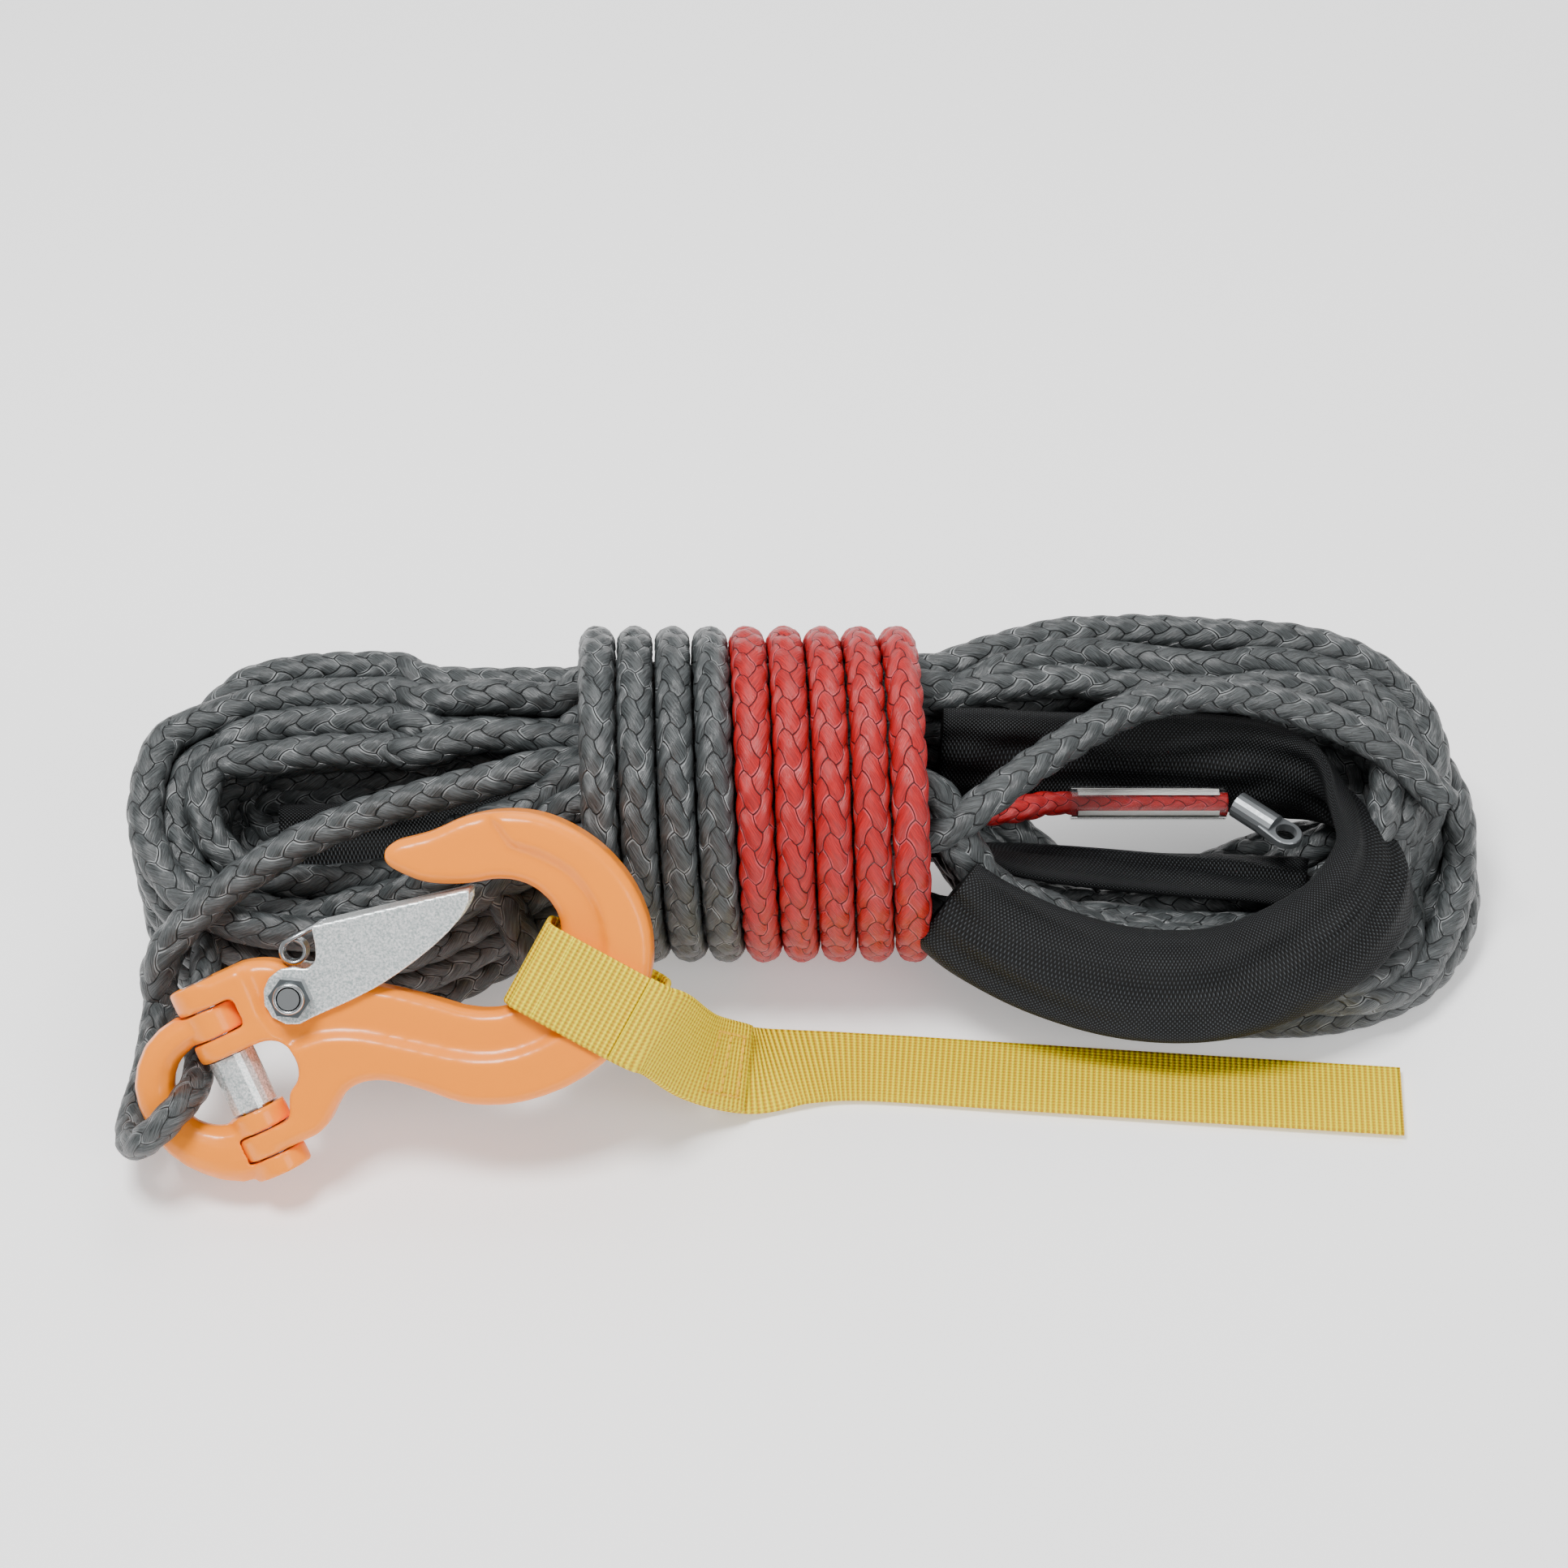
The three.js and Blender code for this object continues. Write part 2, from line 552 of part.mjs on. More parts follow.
const linkSolid = solidOf(linkBow)
  .add(solidOf(pinBar(KNUCKLE_DIAMETER, EAR_INNER + SIDE_CLEAR, KNUCKLE_TOP - SIDE_CLEAR)))
  .add(solidOf(pinBar(KNUCKLE_DIAMETER, KNUCKLE_BOTTOM, WINDOW_BOTTOM - SIDE_CLEAR)))
  .subtract(solidOf(pinBar(EAR_DIAMETER + 2 * SIDE_CLEAR, EAR_LOWER_BOTTOM - SIDE_CLEAR,
    EAR_LOWER_TOP + SIDE_CLEAR)))
  .subtract(solidOf(pinBar(EAR_DIAMETER + 2 * SIDE_CLEAR, KNUCKLE_TOP - SIDE_CLEAR, EAR_TOP + 1)))
  .subtract(solidOf(pinBar(EAR_DIAMETER + 2 * SIDE_CLEAR, WINDOW_TOP - SIDE_CLEAR, EAR_INNER + SIDE_CLEAR)))
  .subtract(solidOf(pinBar(pinBore, KNUCKLE_BOTTOM + 1.5, KNUCKLE_TOP + 1)));
addPiece(hook, 'half_link', geometryOf(linkSolid), colours.orange);

addPiece(hook, 'clevis_pin', pinBar(PIN_DIAMETER, KNUCKLE_BOTTOM + 1.5 + GAP, EAR_TOP + 0.2), colours.zinc);
const sleeveHole = solidOf(pinBar(pinBore, -EAR_TOP, EAR_TOP));
const retainer = solidOf(pinBar(PIN_SLEEVE_DIAMETER, WINDOW_BOTTOM + SIDE_CLEAR, WINDOW_TOP - SIDE_CLEAR))
  .subtract(sleeveHole);
addPiece(hook, 'pin_sleeve', geometryOf(retainer), colours.zinc);

// The sheet latch: two cheeks that straddle the hook, joined by a folded web that rests under the hook's point.
const webStart = [36.3, 30.3];
const webEnd = [79.3, 21.6];

function cheekShape() {
  const shape = new THREE.Shape();
  shape.moveTo(...webStart);
  splineThrough(shape, [[35.2, 25.6], [33.4, 21.5], [30.2, 20.4], [27.5, 22.2]]);
  shape.absarc(LATCH_PIVOT[0], LATCH_PIVOT[1], LATCH_BOSS, 1.06, Math.PI * 1.6, false);
  splineThrough(shape, [[39, 7.5], [49.1, 8.3], [59.7, 10.4], [68.1, 12.9], [74.4, 15.7], [78.2, 18.6]]);
  shape.lineTo(...webEnd);
  shape.closePath();
  return shape;
}

const cheek = plate(cheekShape(), LATCH_SHEET, 0, 4);
const cheekPlace = (LATCH_INSIDE + LATCH_SHEET) / 2;
const webLength = Math.hypot(webEnd[0] - webStart[0], webEnd[1] - webStart[1]);
const web = new THREE.BoxGeometry(webLength, LATCH_SHEET, latchOutside);
web.translate(webLength / 2, -LATCH_SHEET / 2, 0);
web.rotateZ(Math.atan2(webEnd[1] - webStart[1], webEnd[0] - webStart[0]));
web.translate(webStart[0], webStart[1], 0);
const boltHole = new THREE.CylinderGeometry(BOLT_DIAMETER / 2 + GAP, BOLT_DIAMETER / 2 + GAP, 40, 18);
boltHole.rotateX(Math.PI / 2);
boltHole.translate(LATCH_PIVOT[0], LATCH_PIVOT[1], 0);
const latchSolid = solidOf(cheek.clone().translate(0, 0, cheekPlace))
  .add(solidOf(cheek.clone().translate(0, 0, -cheekPlace)))
  .add(solidOf(web))
  .subtract(solidOf(boltHole));
addPiece(hook, 'latch', geometryOf(latchSolid), colours.zinc);
addPiece(hook, 'hook_body', geometryOf(forkSolid.subtract(solidOf(boltHole))), colours.orange);

function grow(run, width, thick, steps) {
  return solidOf(sleeve(run, width, thick, steps, GAP));
}

// The latch bolt with its nut in front and its head behind, and the spring that holds the latch shut.
const boltFace = latchOutside / 2 + GAP;
const boltLength = 2 * boltFace + NUT_HEIGHT + 1.5;

function lathedOnPivot(diameter, low, high, sides) {
  const geometry = new THREE.CylinderGeometry(diameter / 2, diameter / 2, high - low, sides);
  geometry.rotateX(Math.PI / 2);
  geometry.translate(LATCH_PIVOT[0], LATCH_PIVOT[1], (low + high) / 2);
  return geometry;
}

const hexAcross = NUT_ACROSS / Math.cos(Math.PI / 6);
const boltSolid = solidOf(lathedOnPivot(BOLT_DIAMETER, -boltFace - 0.5, boltLength - boltFace, 18))
  .add(solidOf(lathedOnPivot(hexAcross, -boltFace - BOLT_HEAD_HEIGHT, -boltFace, 6)));
addPiece(hook, 'latch_bolt', geometryOf(boltSolid), colours.zinc);
const nutSolid = solidOf(lathedOnPivot(hexAcross, boltFace, boltFace + NUT_HEIGHT, 6))
  .subtract(solidOf(boltHole));
addPiece(hook, 'latch_nut', geometryOf(nutSolid), colours.zinc);

const springAt = [28, 25.8];
const springLong = LATCH_INSIDE * 0.5;
const coil = new THREE.CylinderGeometry(SPRING_COIL / 2, SPRING_COIL / 2, springLong, 16);
coil.rotateX(Math.PI / 2);
coil.translate(springAt[0], springAt[1], 0);
const springLeg = tube([
  [springAt[0], springAt[1] + (SPRING_COIL - SPRING_WIRE) / 2, 0],
  [springAt[0] + 5, springAt[1] + (SPRING_COIL - SPRING_WIRE) / 2 - 0.6, 0],
  [springAt[0] + 10, springAt[1] + (SPRING_COIL - SPRING_WIRE) / 2 - 2.4, 0],
], SPRING_WIRE / 2, 8, 4);
const legPlace = (springLong - SPRING_WIRE) / 2;
const springSolid = solidOf(coil)
  .add(solidOf(springLeg.clone().translate(0, 0, legPlace)))
  .add(solidOf(springLeg.clone().translate(0, 0, -legPlace)));
addPiece(hook, 'latch_spring', geometryOf(springSolid), colours.zinc);

// The spliced eye of the rope goes round the bow of the half link and back into the left loops.
const eyeLine = [
  [-5, 44, -49],
  [-14, 36, -39],
  [-20, 24, -27],
  [-27, 11, -16],
  [-33.5, 2, -7],
  [-34.8, -3, 1],
  [-30.5, -4, 8.5],
  [-23, -2, 11.2],
  [-16, 1, 8.2],
  [-12.6, 3.4, 0],
  [-10.8, 8, -9],
  [-7.5, 18, -19],
  [-3, 30, -30],
  [2, 40, -39],
].map((point) => hook.localToWorld(vector(point)).toArray());
addPiece(hank, 'rope_eye', tube(eyeLine, EYE_ROPE / 2, ROPE_SIDES, 30), colours.rope);

// The pull strap: a sewn loop round the bowl, and a tail that drops to the floor and lies along the hank.
const bowl = [95.5, -16.8];
const outward = [0.597, -0.802];
const loopInner = -16 - STRAP_CLEAR;
const loopOuter = 18.2 + STRAP_CLEAR;
const loopHalf = HOOK_THICK / 2 + STRAP_CLEAR;

function roundedBox(low, high, half, corner) {
  const shape = new THREE.Shape();
  shape.moveTo(low + corner, -half);
  shape.lineTo(high - corner, -half);
  shape.absarc(high - corner, -half + corner, corner, -Math.PI / 2, 0, false);
  shape.absarc(high - corner, half - corner, corner, 0, Math.PI / 2, false);
  shape.absarc(low + corner, half - corner, corner, Math.PI / 2, Math.PI, false);
  shape.absarc(low + corner, -half + corner, corner, Math.PI, Math.PI * 1.5, false);
  return shape;
}

const loopShape = roundedBox(loopInner - STRAP_THICK, loopOuter + STRAP_THICK, loopHalf + STRAP_THICK, 4.6);
loopShape.holes.push(roundedBox(loopInner, loopOuter, loopHalf, 3));
const loopBand = new THREE.ExtrudeGeometry(loopShape, { depth: STRAP_WIDTH, bevelEnabled: false, curveSegments: 5 });
loopBand.translate(0, 0, -STRAP_WIDTH / 2);
const bandFrame = new THREE.Matrix4().makeBasis(
  new THREE.Vector3(outward[0], outward[1], 0),
  new THREE.Vector3(0, 0, 1),
  new THREE.Vector3(outward[1], -outward[0], 0),
);
loopBand.applyMatrix4(bandFrame);
loopBand.translate(bowl[0], bowl[1], 0);
loopBand.applyMatrix4(hook.matrixWorld);

function onBand(reach, height) {
  return hook.localToWorld(new THREE.Vector3(
    bowl[0] + outward[0] * reach, bowl[1] + outward[1] * reach, height)).toArray();
}

const bandTop = loopHalf + STRAP_THICK / 2;
const doubled = STRAP_THICK * 2 + GAP;
const half = STRAP_WIDTH / 2;
const floorLine = STRAP_THICK / 2 + 0.1;
const strapSide = -(STRAP_SIDE + half);
const strapDrift = 0.085;
const strapTail = loft([
  { at: onBand(loopOuter - 5, bandTop + 0.9), wide: [0.51, 0.553, 0.659], size: [half, doubled / 2] },
  { at: onBand(loopOuter + 1.5, bandTop - 0.9), wide: [0.5, 0.57, 0.65], size: [half, doubled / 2] },
  { at: onBand(loopOuter + 9, bandTop - 9), wide: [0.47, 0.62, 0.62], size: [half, doubled / 2] },
  { at: [-14, strapSide - 16.5, 24], wide: [0.42, 0.75, 0.5], size: [half, doubled / 2] },
  { at: [-1, strapSide - 8.5, 9.5], wide: [0.3, 0.9, 0.3], size: [half, doubled / 2] },
  { at: [14, strapSide - 2, 3.4], wide: [0.15, 1, 0.05], size: [half, STRAP_THICK / 2] },
  ...[34, 80, 130, STRAP_TAIL_END].map((x) => ({
    at: [x, strapSide - (x - 34) * strapDrift, floorLine],
    wide: [strapDrift, 1, 0],
    size: [half, STRAP_THICK / 2],
  })),
], 34, ([w, t]) => [[w, -t], [w, t], [0, t], [-w, t], [-w, -t], [0, -t]]);
const strapSolid = solidOf(loopBand).add(solidOf(strapTail));
addPiece(hank, 'pull_strap', geometryOf(strapSolid), colours.strap);

const leftSolid = solidOf(lobe(-1, LEFT_END, LEFT_BACK, LEFT_FRONT, LEFT_HEIGHT, 18))
  .subtract(grow(leftRun, SLEEVE_WIDTH, INNER_THICK, 10))
  .subtract(solidOf(tube(eyeLine, EYE_ROPE / 2 + GAP, ROPE_SIDES, 30)));
const rightSolid = solidOf(lobe(1, RIGHT_END, RIGHT_BACK, RIGHT_FRONT, RIGHT_HEIGHT, 14.5))
  .subtract(grow(wideRun, SLEEVE_WIDTH, SLEEVE_THICK, SLEEVE_STEPS))
  .subtract(grow(innerRun, INNER_WIDTH, INNER_THICK, 12))
  .subtract(solidOf(tube(strandRight, ROPE / 2 + GAP, ROPE_SIDES, 24)))
  .subtract(solidOf(tube(tailLine, TAIL_ROPE / 2 + GAP, 12, 12)));
addPiece(hank, 'rope_loops_left', geometryOf(leftSolid), colours.rope);
addPiece(hank, 'rope_loops_right', geometryOf(rightSolid), colours.rope);

// The origin stands on the floor under the middle of the whole.
const whole = new THREE.Box3().setFromObject(hank, true);
const middle = whole.getCenter(new THREE.Vector3());
hank.position.set(-middle.x, -middle.y, -whole.min.z);

export default hank;
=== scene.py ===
import math

import bpy
import numpy as np
from mathutils import Matrix, Vector


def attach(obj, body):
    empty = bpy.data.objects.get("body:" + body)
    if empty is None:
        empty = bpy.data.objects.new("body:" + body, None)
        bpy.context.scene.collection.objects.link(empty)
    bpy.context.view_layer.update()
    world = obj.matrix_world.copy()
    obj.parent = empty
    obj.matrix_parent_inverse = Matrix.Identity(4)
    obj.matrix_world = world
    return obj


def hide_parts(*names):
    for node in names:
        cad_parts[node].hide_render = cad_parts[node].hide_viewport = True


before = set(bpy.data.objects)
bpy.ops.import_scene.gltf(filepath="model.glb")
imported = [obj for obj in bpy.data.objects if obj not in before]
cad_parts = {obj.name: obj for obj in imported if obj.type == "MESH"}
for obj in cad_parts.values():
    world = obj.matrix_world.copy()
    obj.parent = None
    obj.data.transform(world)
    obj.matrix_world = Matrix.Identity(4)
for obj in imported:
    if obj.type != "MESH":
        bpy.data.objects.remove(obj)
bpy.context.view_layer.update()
MM = 0.001

# Camera, floor and light

# The picture looks along +Y and 44 degrees down, from just under a metre away.
LOOK_AT = Vector((-0.0094, 0.0261, 0.0547))
CAMERA_RANGE = 0.95
CAMERA_DOWN = math.radians(44)
LENS_MM = 75.47

lens = bpy.data.cameras.new("camera")
lens.lens = LENS_MM
lens.sensor_width = 36
lens.clip_start = 0.05
camera = bpy.data.objects.new("camera", lens)
camera.location = LOOK_AT + CAMERA_RANGE * Vector((0, -math.cos(CAMERA_DOWN), math.sin(CAMERA_DOWN)))
camera.rotation_euler = (math.pi / 2 - CAMERA_DOWN, 0, 0)
bpy.context.collection.objects.link(camera)
bpy.context.scene.camera = camera


def linear(hex_colour):
    """A written colour as the linear values that a shader takes"""
    parts = [int(hex_colour[i:i + 2], 16) / 255 for i in (1, 3, 5)]
    return tuple(c / 12.92 if c <= 0.04045 else ((c + 0.055) / 1.055) ** 2.4 for c in parts) + (1,)


def add_node(tree, kind, settings=None, values=None, links=None):
    """One shader node, with its settings, the values of its sockets and what is linked into them"""
    node = tree.nodes.new(kind)
    for key, value in (settings or {}).items():
        setattr(node, key, value)
    for key, value in (values or {}).items():
        node.inputs[key].default_value = value
    for key, source in (links or {}).items():
        tree.links.new(source, node.inputs[key])
    return node


def shader(name, colour, roughness, metallic=0.0, **values):
    """A new material with the shader's own sockets set"""
    material = bpy.data.materials.new(name)
    material.use_nodes = True
    tree = material.node_tree
    surface = tree.nodes["Principled BSDF"]
    surface.inputs["Base Color"].default_value = linear(colour)
    surface.inputs["Roughness"].default_value = roughness
    surface.inputs["Metallic"].default_value = metallic
    for key, value in values.items():
        surface.inputs[key.replace("_", " ")].default_value = value
    return material, tree, surface


FLOOR_REACH = 2.5
floor_mesh = bpy.data.meshes.new("floor")
floor_mesh.from_pydata(
    [(x * FLOOR_REACH, y * FLOOR_REACH, -0.0002) for x, y in ((-1, -1), (1, -1), (1, 1), (-1, 1))],
    [], [(0, 1, 2, 3)])
floor = bpy.data.objects.new("floor", floor_mesh)
bpy.context.collection.objects.link(floor)
floor.data.materials.append(shader("floor_white", "#fbfbfb", 0.95, Emission_Color=(1, 1, 1, 1),
                                   Emission_Strength=0.35)[0])

for light_name, place, size, power in (
        ("key", (-0.3, -0.15, 1.2), 0.35, 19),
        ("fill", (0.8, -0.9, 0.9), 0.6, 6),
        ("back", (0.2, 0.9, 1.1), 1.0, 8)):
    lamp = bpy.data.lights.new(light_name, "AREA")
    lamp.size = size
    lamp.energy = power
    lamp_object = bpy.data.objects.new(light_name, lamp)
    lamp_object.location = place
    lamp_object.rotation_euler = (LOOK_AT - Vector(place)).to_track_quat("-Z", "Y").to_euler()
    bpy.context.collection.objects.link(lamp_object)
world = bpy.data.worlds.new("studio")
world.use_nodes = True
world.node_tree.nodes["Background"].inputs["Color"].default_value = (1, 1, 1, 1)
world.node_tree.nodes["Background"].inputs["Strength"].default_value = 0.5
bpy.context.scene.world = world

# Rope

# The rope is a 10 mm braid of twelve soft strands. Six rows of floats run along it, and they lean left and
# right in turn. Its loops are one continuous length, wound round and squeezed together at the waist.
ROPE = 0.010
FLOAT_EVERY = 0.0094
FLOAT_LEAN = math.radians(33)
FLOAT_LONG = 0.0068
FLOAT_WIDE = 0.0030
WALE = math.pi * ROPE / 6
WAIST = Vector((-0.019, 0.02606, 0.0507))
WAIST_RADIUS = 0.0383
WAIST_HALF = 0.0485
IN_WAIST = 0.42 * WAIST_RADIUS
BRAID_SIDES = 20
GROOVE_SHARE, CROWN_RISE = 0.86, 0.2
FIBRES = (3600, 160, 1)


def braid_height(along, angle, rope):
    """How high the floats stand, 0 in the grooves and 1 on a crown"""
    scale = rope / ROPE
    best = np.zeros(np.broadcast(along, angle).shape)
    for row in range(6):
        lean = 1 if row % 2 else -1
        across = ((angle - row * math.pi / 3 + math.pi) % (2 * math.pi) - math.pi) * rope / 2
        start = 0 if row % 2 else FLOAT_EVERY * scale / 2
        place = (along - start) / (FLOAT_EVERY * scale)
        for shift in (-1, 0, 1):
            gap = (place - np.round(place) - shift) * FLOAT_EVERY * scale
            a = gap * math.cos(FLOAT_LEAN) + lean * across * math.sin(FLOAT_LEAN)
            c = across * math.cos(FLOAT_LEAN) - lean * gap * math.sin(FLOAT_LEAN)
            inside = 1 - (a / (FLOAT_LONG * scale)) ** 2 - (c / (FLOAT_WIDE * scale)) ** 2
            best = np.maximum(best, np.sqrt(np.clip(inside, 0, None)))
    return best


def smooth_path(points, every):
    """A curve through the points, cut into equal steps"""
    points = np.asarray(points, float)
    padded = np.vstack([2 * points[0] - points[1], points, 2 * points[-1] - points[-2]])
    a, b, c, d = padded[:-3], padded[1:-2], padded[2:-1], padded[3:]
    steps = 8
    t = (np.arange(steps) / steps)[None, :, None]
    a, b, c, d = (x[:, None, :] for x in (a, b, c, d))
    square, cube = (2 * a - 5 * b + 4 * c - d) * t ** 2, (3 * b - a - 3 * c + d) * t ** 3
    fine = 0.5 * (2 * b + (c - a) * t + square + cube)
    fine = np.vstack([fine.reshape(-1, 3), points[-1:]])
    s = np.concatenate([[0], np.cumsum(np.linalg.norm(np.diff(fine, axis=0), axis=1))])
    marks = np.linspace(0, s[-1], max(2, int(round(s[-1] / every))))
    return np.stack([np.interp(marks, s, fine[:, i]) for i in range(3)], axis=1)


def carried_frames(path):
    """The line's direction at each point, and a side direction that is carried along it without twist"""
    ahead = np.gradient(path, axis=0)
    ahead /= np.linalg.norm(ahead, axis=1)[:, None]
    side = np.zeros_like(path)
    first = np.cross(ahead[0], (0.0, 0.3, 1.0))
    current = first / np.linalg.norm(first)
    for i, d in enumerate(ahead):
        current = current - d * current.dot(d)
        current = current / np.linalg.norm(current)
        side[i] = current
    return ahead, side, np.cross(ahead, side)


def mesh_object(name, points, faces, material):
    """A smooth-shaded piece of the given points and faces"""
    mesh = bpy.data.meshes.new(name)
    mesh.from_pydata(points, [], faces)
    mesh.polygons.foreach_set("use_smooth", [True] * len(mesh.polygons))
    mesh.materials.append(material)
    piece = bpy.data.objects.new(name, mesh)
    bpy.context.collection.objects.link(piece)
    return piece


def skin(name, rings, material, layer=None, u=None, u_next=None, v=None):
    """A closed tube through rings of points, with flat ends. u and u_next are its places round, v along it"""
    rows, sides = rings.shape[:2]
    index = np.arange(rows * sides).reshape(rows, sides)
    a, b = index[:-1], index[1:]
    quads = np.stack([a, np.roll(a, -1, 1), np.roll(b, -1, 1), b], axis=-1).reshape(-1, 4)
    faces = quads.tolist() + [index[0, ::-1].tolist(), index[-1].tolist()]
    piece = mesh_object(name, rings.reshape(-1, 3).tolist(), faces, material)
    if layer:
        u_at = np.stack([u, u_next, u_next, u], axis=-1)[None].repeat(rows - 1, 0)
        v_at = np.stack([v[:-1], v[:-1], v[1:], v[1:]], axis=-1)[:, None].repeat(sides, 1)
        spots = np.vstack([np.stack([u_at, v_at], axis=-1).reshape(-1, 2), np.zeros((2 * sides, 2))])
        piece.data.uv_layers.new(name=layer).data.foreach_set("uv", spots.ravel())
    return piece


def rope_piece(name, path, rope, material, keep=None):
    """A braided rope along the path, with floats that stand up in relief. keep says which points stay"""
    along = np.concatenate([[0], np.cumsum(np.linalg.norm(np.diff(path, axis=0), axis=1))])
    _, side, other = carried_frames(path)
    if keep is not None:
        path, side, other, along = path[keep], side[keep], other[keep], along[keep]
    turn = np.arange(BRAID_SIDES) / BRAID_SIDES
    angle = turn * 2 * math.pi
    height = braid_height(along[:, None], angle[None, :], rope)
    radius = rope / 2 * (GROOVE_SHARE + CROWN_RISE * height)
    ring = (np.cos(angle)[None, :, None] * side[:, None] + np.sin(angle)[None, :, None] * other[:, None])
    rings = path[:, None] + ring * radius[:, :, None]
    return skin(name, rings, material, "length", turn * math.pi * ROPE,
                (turn + 1 / BRAID_SIDES) * math.pi * ROPE, along * ROPE / rope)


def rope_material(name, crown, shade, seam_shade, edge, roughness):
    """The floats are drawn from the same sizes as their relief. Fibres run along each float, the seams are
    darkened with painted shade, and here and there a float's edge gets a painted highlight"""
    material, tree, surface = shader(name, crown, roughness)

    def calc(operation, *inputs):
        """One sum of the shader's, of numbers or of other nodes' results"""
        node = tree.nodes.new("ShaderNodeMath")
        node.operation = operation
        for slot_at, value in enumerate(inputs):
            if isinstance(value, (int, float)):
                node.inputs[slot_at].default_value = value
            else:
                tree.links.new(value, node.inputs[slot_at])
        return node.outputs[0]

    uv = add_node(tree, "ShaderNodeUVMap", {"uv_map": "length"})
    place = add_node(tree, "ShaderNodeSeparateXYZ", {}, {}, {0: uv.outputs[0]})
    nearest, margins, streaks = [], [], []
    for lean in (-1, 1):
        x = calc("WRAP", calc("SUBTRACT", place.outputs[0], WALE if lean > 0 else 0.0), WALE, -WALE)
        y = calc("WRAP", calc("SUBTRACT", place.outputs[1], 0.0 if lean > 0 else FLOAT_EVERY / 2),
                 FLOAT_EVERY / 2, -FLOAT_EVERY / 2)
        cos_l, sin_l = math.cos(FLOAT_LEAN), math.sin(FLOAT_LEAN)
        along = calc("MULTIPLY_ADD", y, cos_l / FLOAT_LONG, calc("MULTIPLY", x, lean * sin_l / FLOAT_LONG))
        over = calc("MULTIPLY_ADD", x, cos_l / FLOAT_WIDE, calc("MULTIPLY", y, -lean * sin_l / FLOAT_WIDE))
        both = add_node(tree, "ShaderNodeCombineXYZ", {}, {}, {0: along, 1: over})
        lengths = []
        for k in (-1, 0, 1):
            moved = add_node(tree, "ShaderNodeVectorMath", {"operation": "ADD"}, {
                1: (k * FLOAT_EVERY * cos_l / FLOAT_LONG, -k * lean * FLOAT_EVERY * sin_l / FLOAT_WIDE, 0)},
                {0: both.outputs[0]})
            from_middle = add_node(tree, "ShaderNodeVectorMath", {"operation": "LENGTH"}, {}, {
                0: moved.outputs[0]})
            lengths.append(from_middle.outputs["Value"])
        low, up = calc("MINIMUM", lengths[0], lengths[1]), calc("MAXIMUM", lengths[0], lengths[1])
        first = calc("MINIMUM", low, lengths[2])
        second = calc("MINIMUM", up, calc("MAXIMUM", low, lengths[2]))
        nearest.append(first)
        margins.append(calc("SUBTRACT", second, first))
        turned = add_node(tree, "ShaderNodeMapping", {}, {"Rotation": (0, 0, lean * FLOAT_LEAN)}, {
            "Vector": uv.outputs[0]})
        stretched = add_node(tree, "ShaderNodeMapping", {}, {"Scale": FIBRES}, {"Vector": turned.outputs[0]})
        fibre = add_node(tree, "ShaderNodeTexNoise", {"noise_dimensions": "2D"}, {
            "Scale": 1.0, "Detail": 3.0, "Roughness": 0.65}, {"Vector": stretched.outputs[0]})
        streaks.append(fibre.outputs[0])
    right_wins = calc("LESS_THAN", nearest[1], nearest[0])
    crown_at = calc("MINIMUM", nearest[0], nearest[1])
    own = add_node(tree, "ShaderNodeMix", {"data_type": "FLOAT"}, {}, {
        0: right_wins, 2: margins[0], 3: margins[1]})
    streak = add_node(tree, "ShaderNodeMix", {"data_type": "FLOAT"}, {}, {
        0: right_wins, 2: streaks[0], 3: streaks[1]})
    seam = calc("MINIMUM", own.outputs[0], calc("ABSOLUTE", calc("SUBTRACT", nearest[0], nearest[1])))
    tone = add_node(tree, "ShaderNodeValToRGB", {}, {}, {"Fac": streak.outputs[0]})
    ramp = tone.color_ramp.elements
    ramp[0].position, ramp[0].color = 0.33, linear(shade)
    ramp[1].position, ramp[1].color = 0.7, linear(crown)
    # Painted highlight: in patches, a thin band beside each seam is lightened to the edge colour.
    coords = add_node(tree, "ShaderNodeTexCoord")
    patch = add_node(tree, "ShaderNodeTexNoise", {}, {"Scale": 170.0, "Detail": 1.0}, {
        "Vector": coords.outputs["Object"]})
    rim = add_node(tree, "ShaderNodeValToRGB", {}, {}, {"Fac": seam})
    stops = rim.color_ramp.elements
    stops[0].position, stops[0].color = 0.05, (0, 0, 0, 1)
    stops[1].position, stops[1].color = 0.3, (0, 0, 0, 1)
    stops.new(0.14).color = (1, 1, 1, 1)
    catch = add_node(tree, "ShaderNodeMapRange", {}, {
        "From Min": 0.5, "From Max": 0.64, "To Min": 0.0, "To Max": 0.6}, {"Value": patch.outputs[0]})
    glint = calc("MULTIPLY", rim.outputs[0], catch.outputs[0])
    # Painted shade: near each seam the colour darkens to the seam colour.
    deep = add_node(tree, "ShaderNodeMapRange", {}, {
        "From Min": 0.015, "From Max": 0.11, "To Min": 0.0, "To Max": 1.0}, {"Value": seam})
    base = add_node(tree, "ShaderNodeMix", {"data_type": "RGBA"}, {6: linear(seam_shade)}, {
        0: deep.outputs[0], 7: tone.outputs[0]})
    lit = add_node(tree, "ShaderNodeMix", {"data_type": "RGBA"}, {7: linear(edge)}, {
        0: glint, 6: base.outputs[2]})
    tree.links.new(lit.outputs[2], surface.inputs["Base Color"])
    dome = calc("SUBTRACT", calc("MULTIPLY", deep.outputs[0], 0.5), calc("MULTIPLY", crown_at, 0.9))
    height = calc("MULTIPLY_ADD", streak.outputs[0], 0.35, dome)
    bump = add_node(tree, "ShaderNodeBump", {}, {"Strength": 0.8, "Distance": 0.0011}, {"Height": height})
    tree.links.new(bump.outputs[0], surface.inputs["Normal"])
    surface.inputs["Specular IOR Level"].default_value = 0.65
    return material
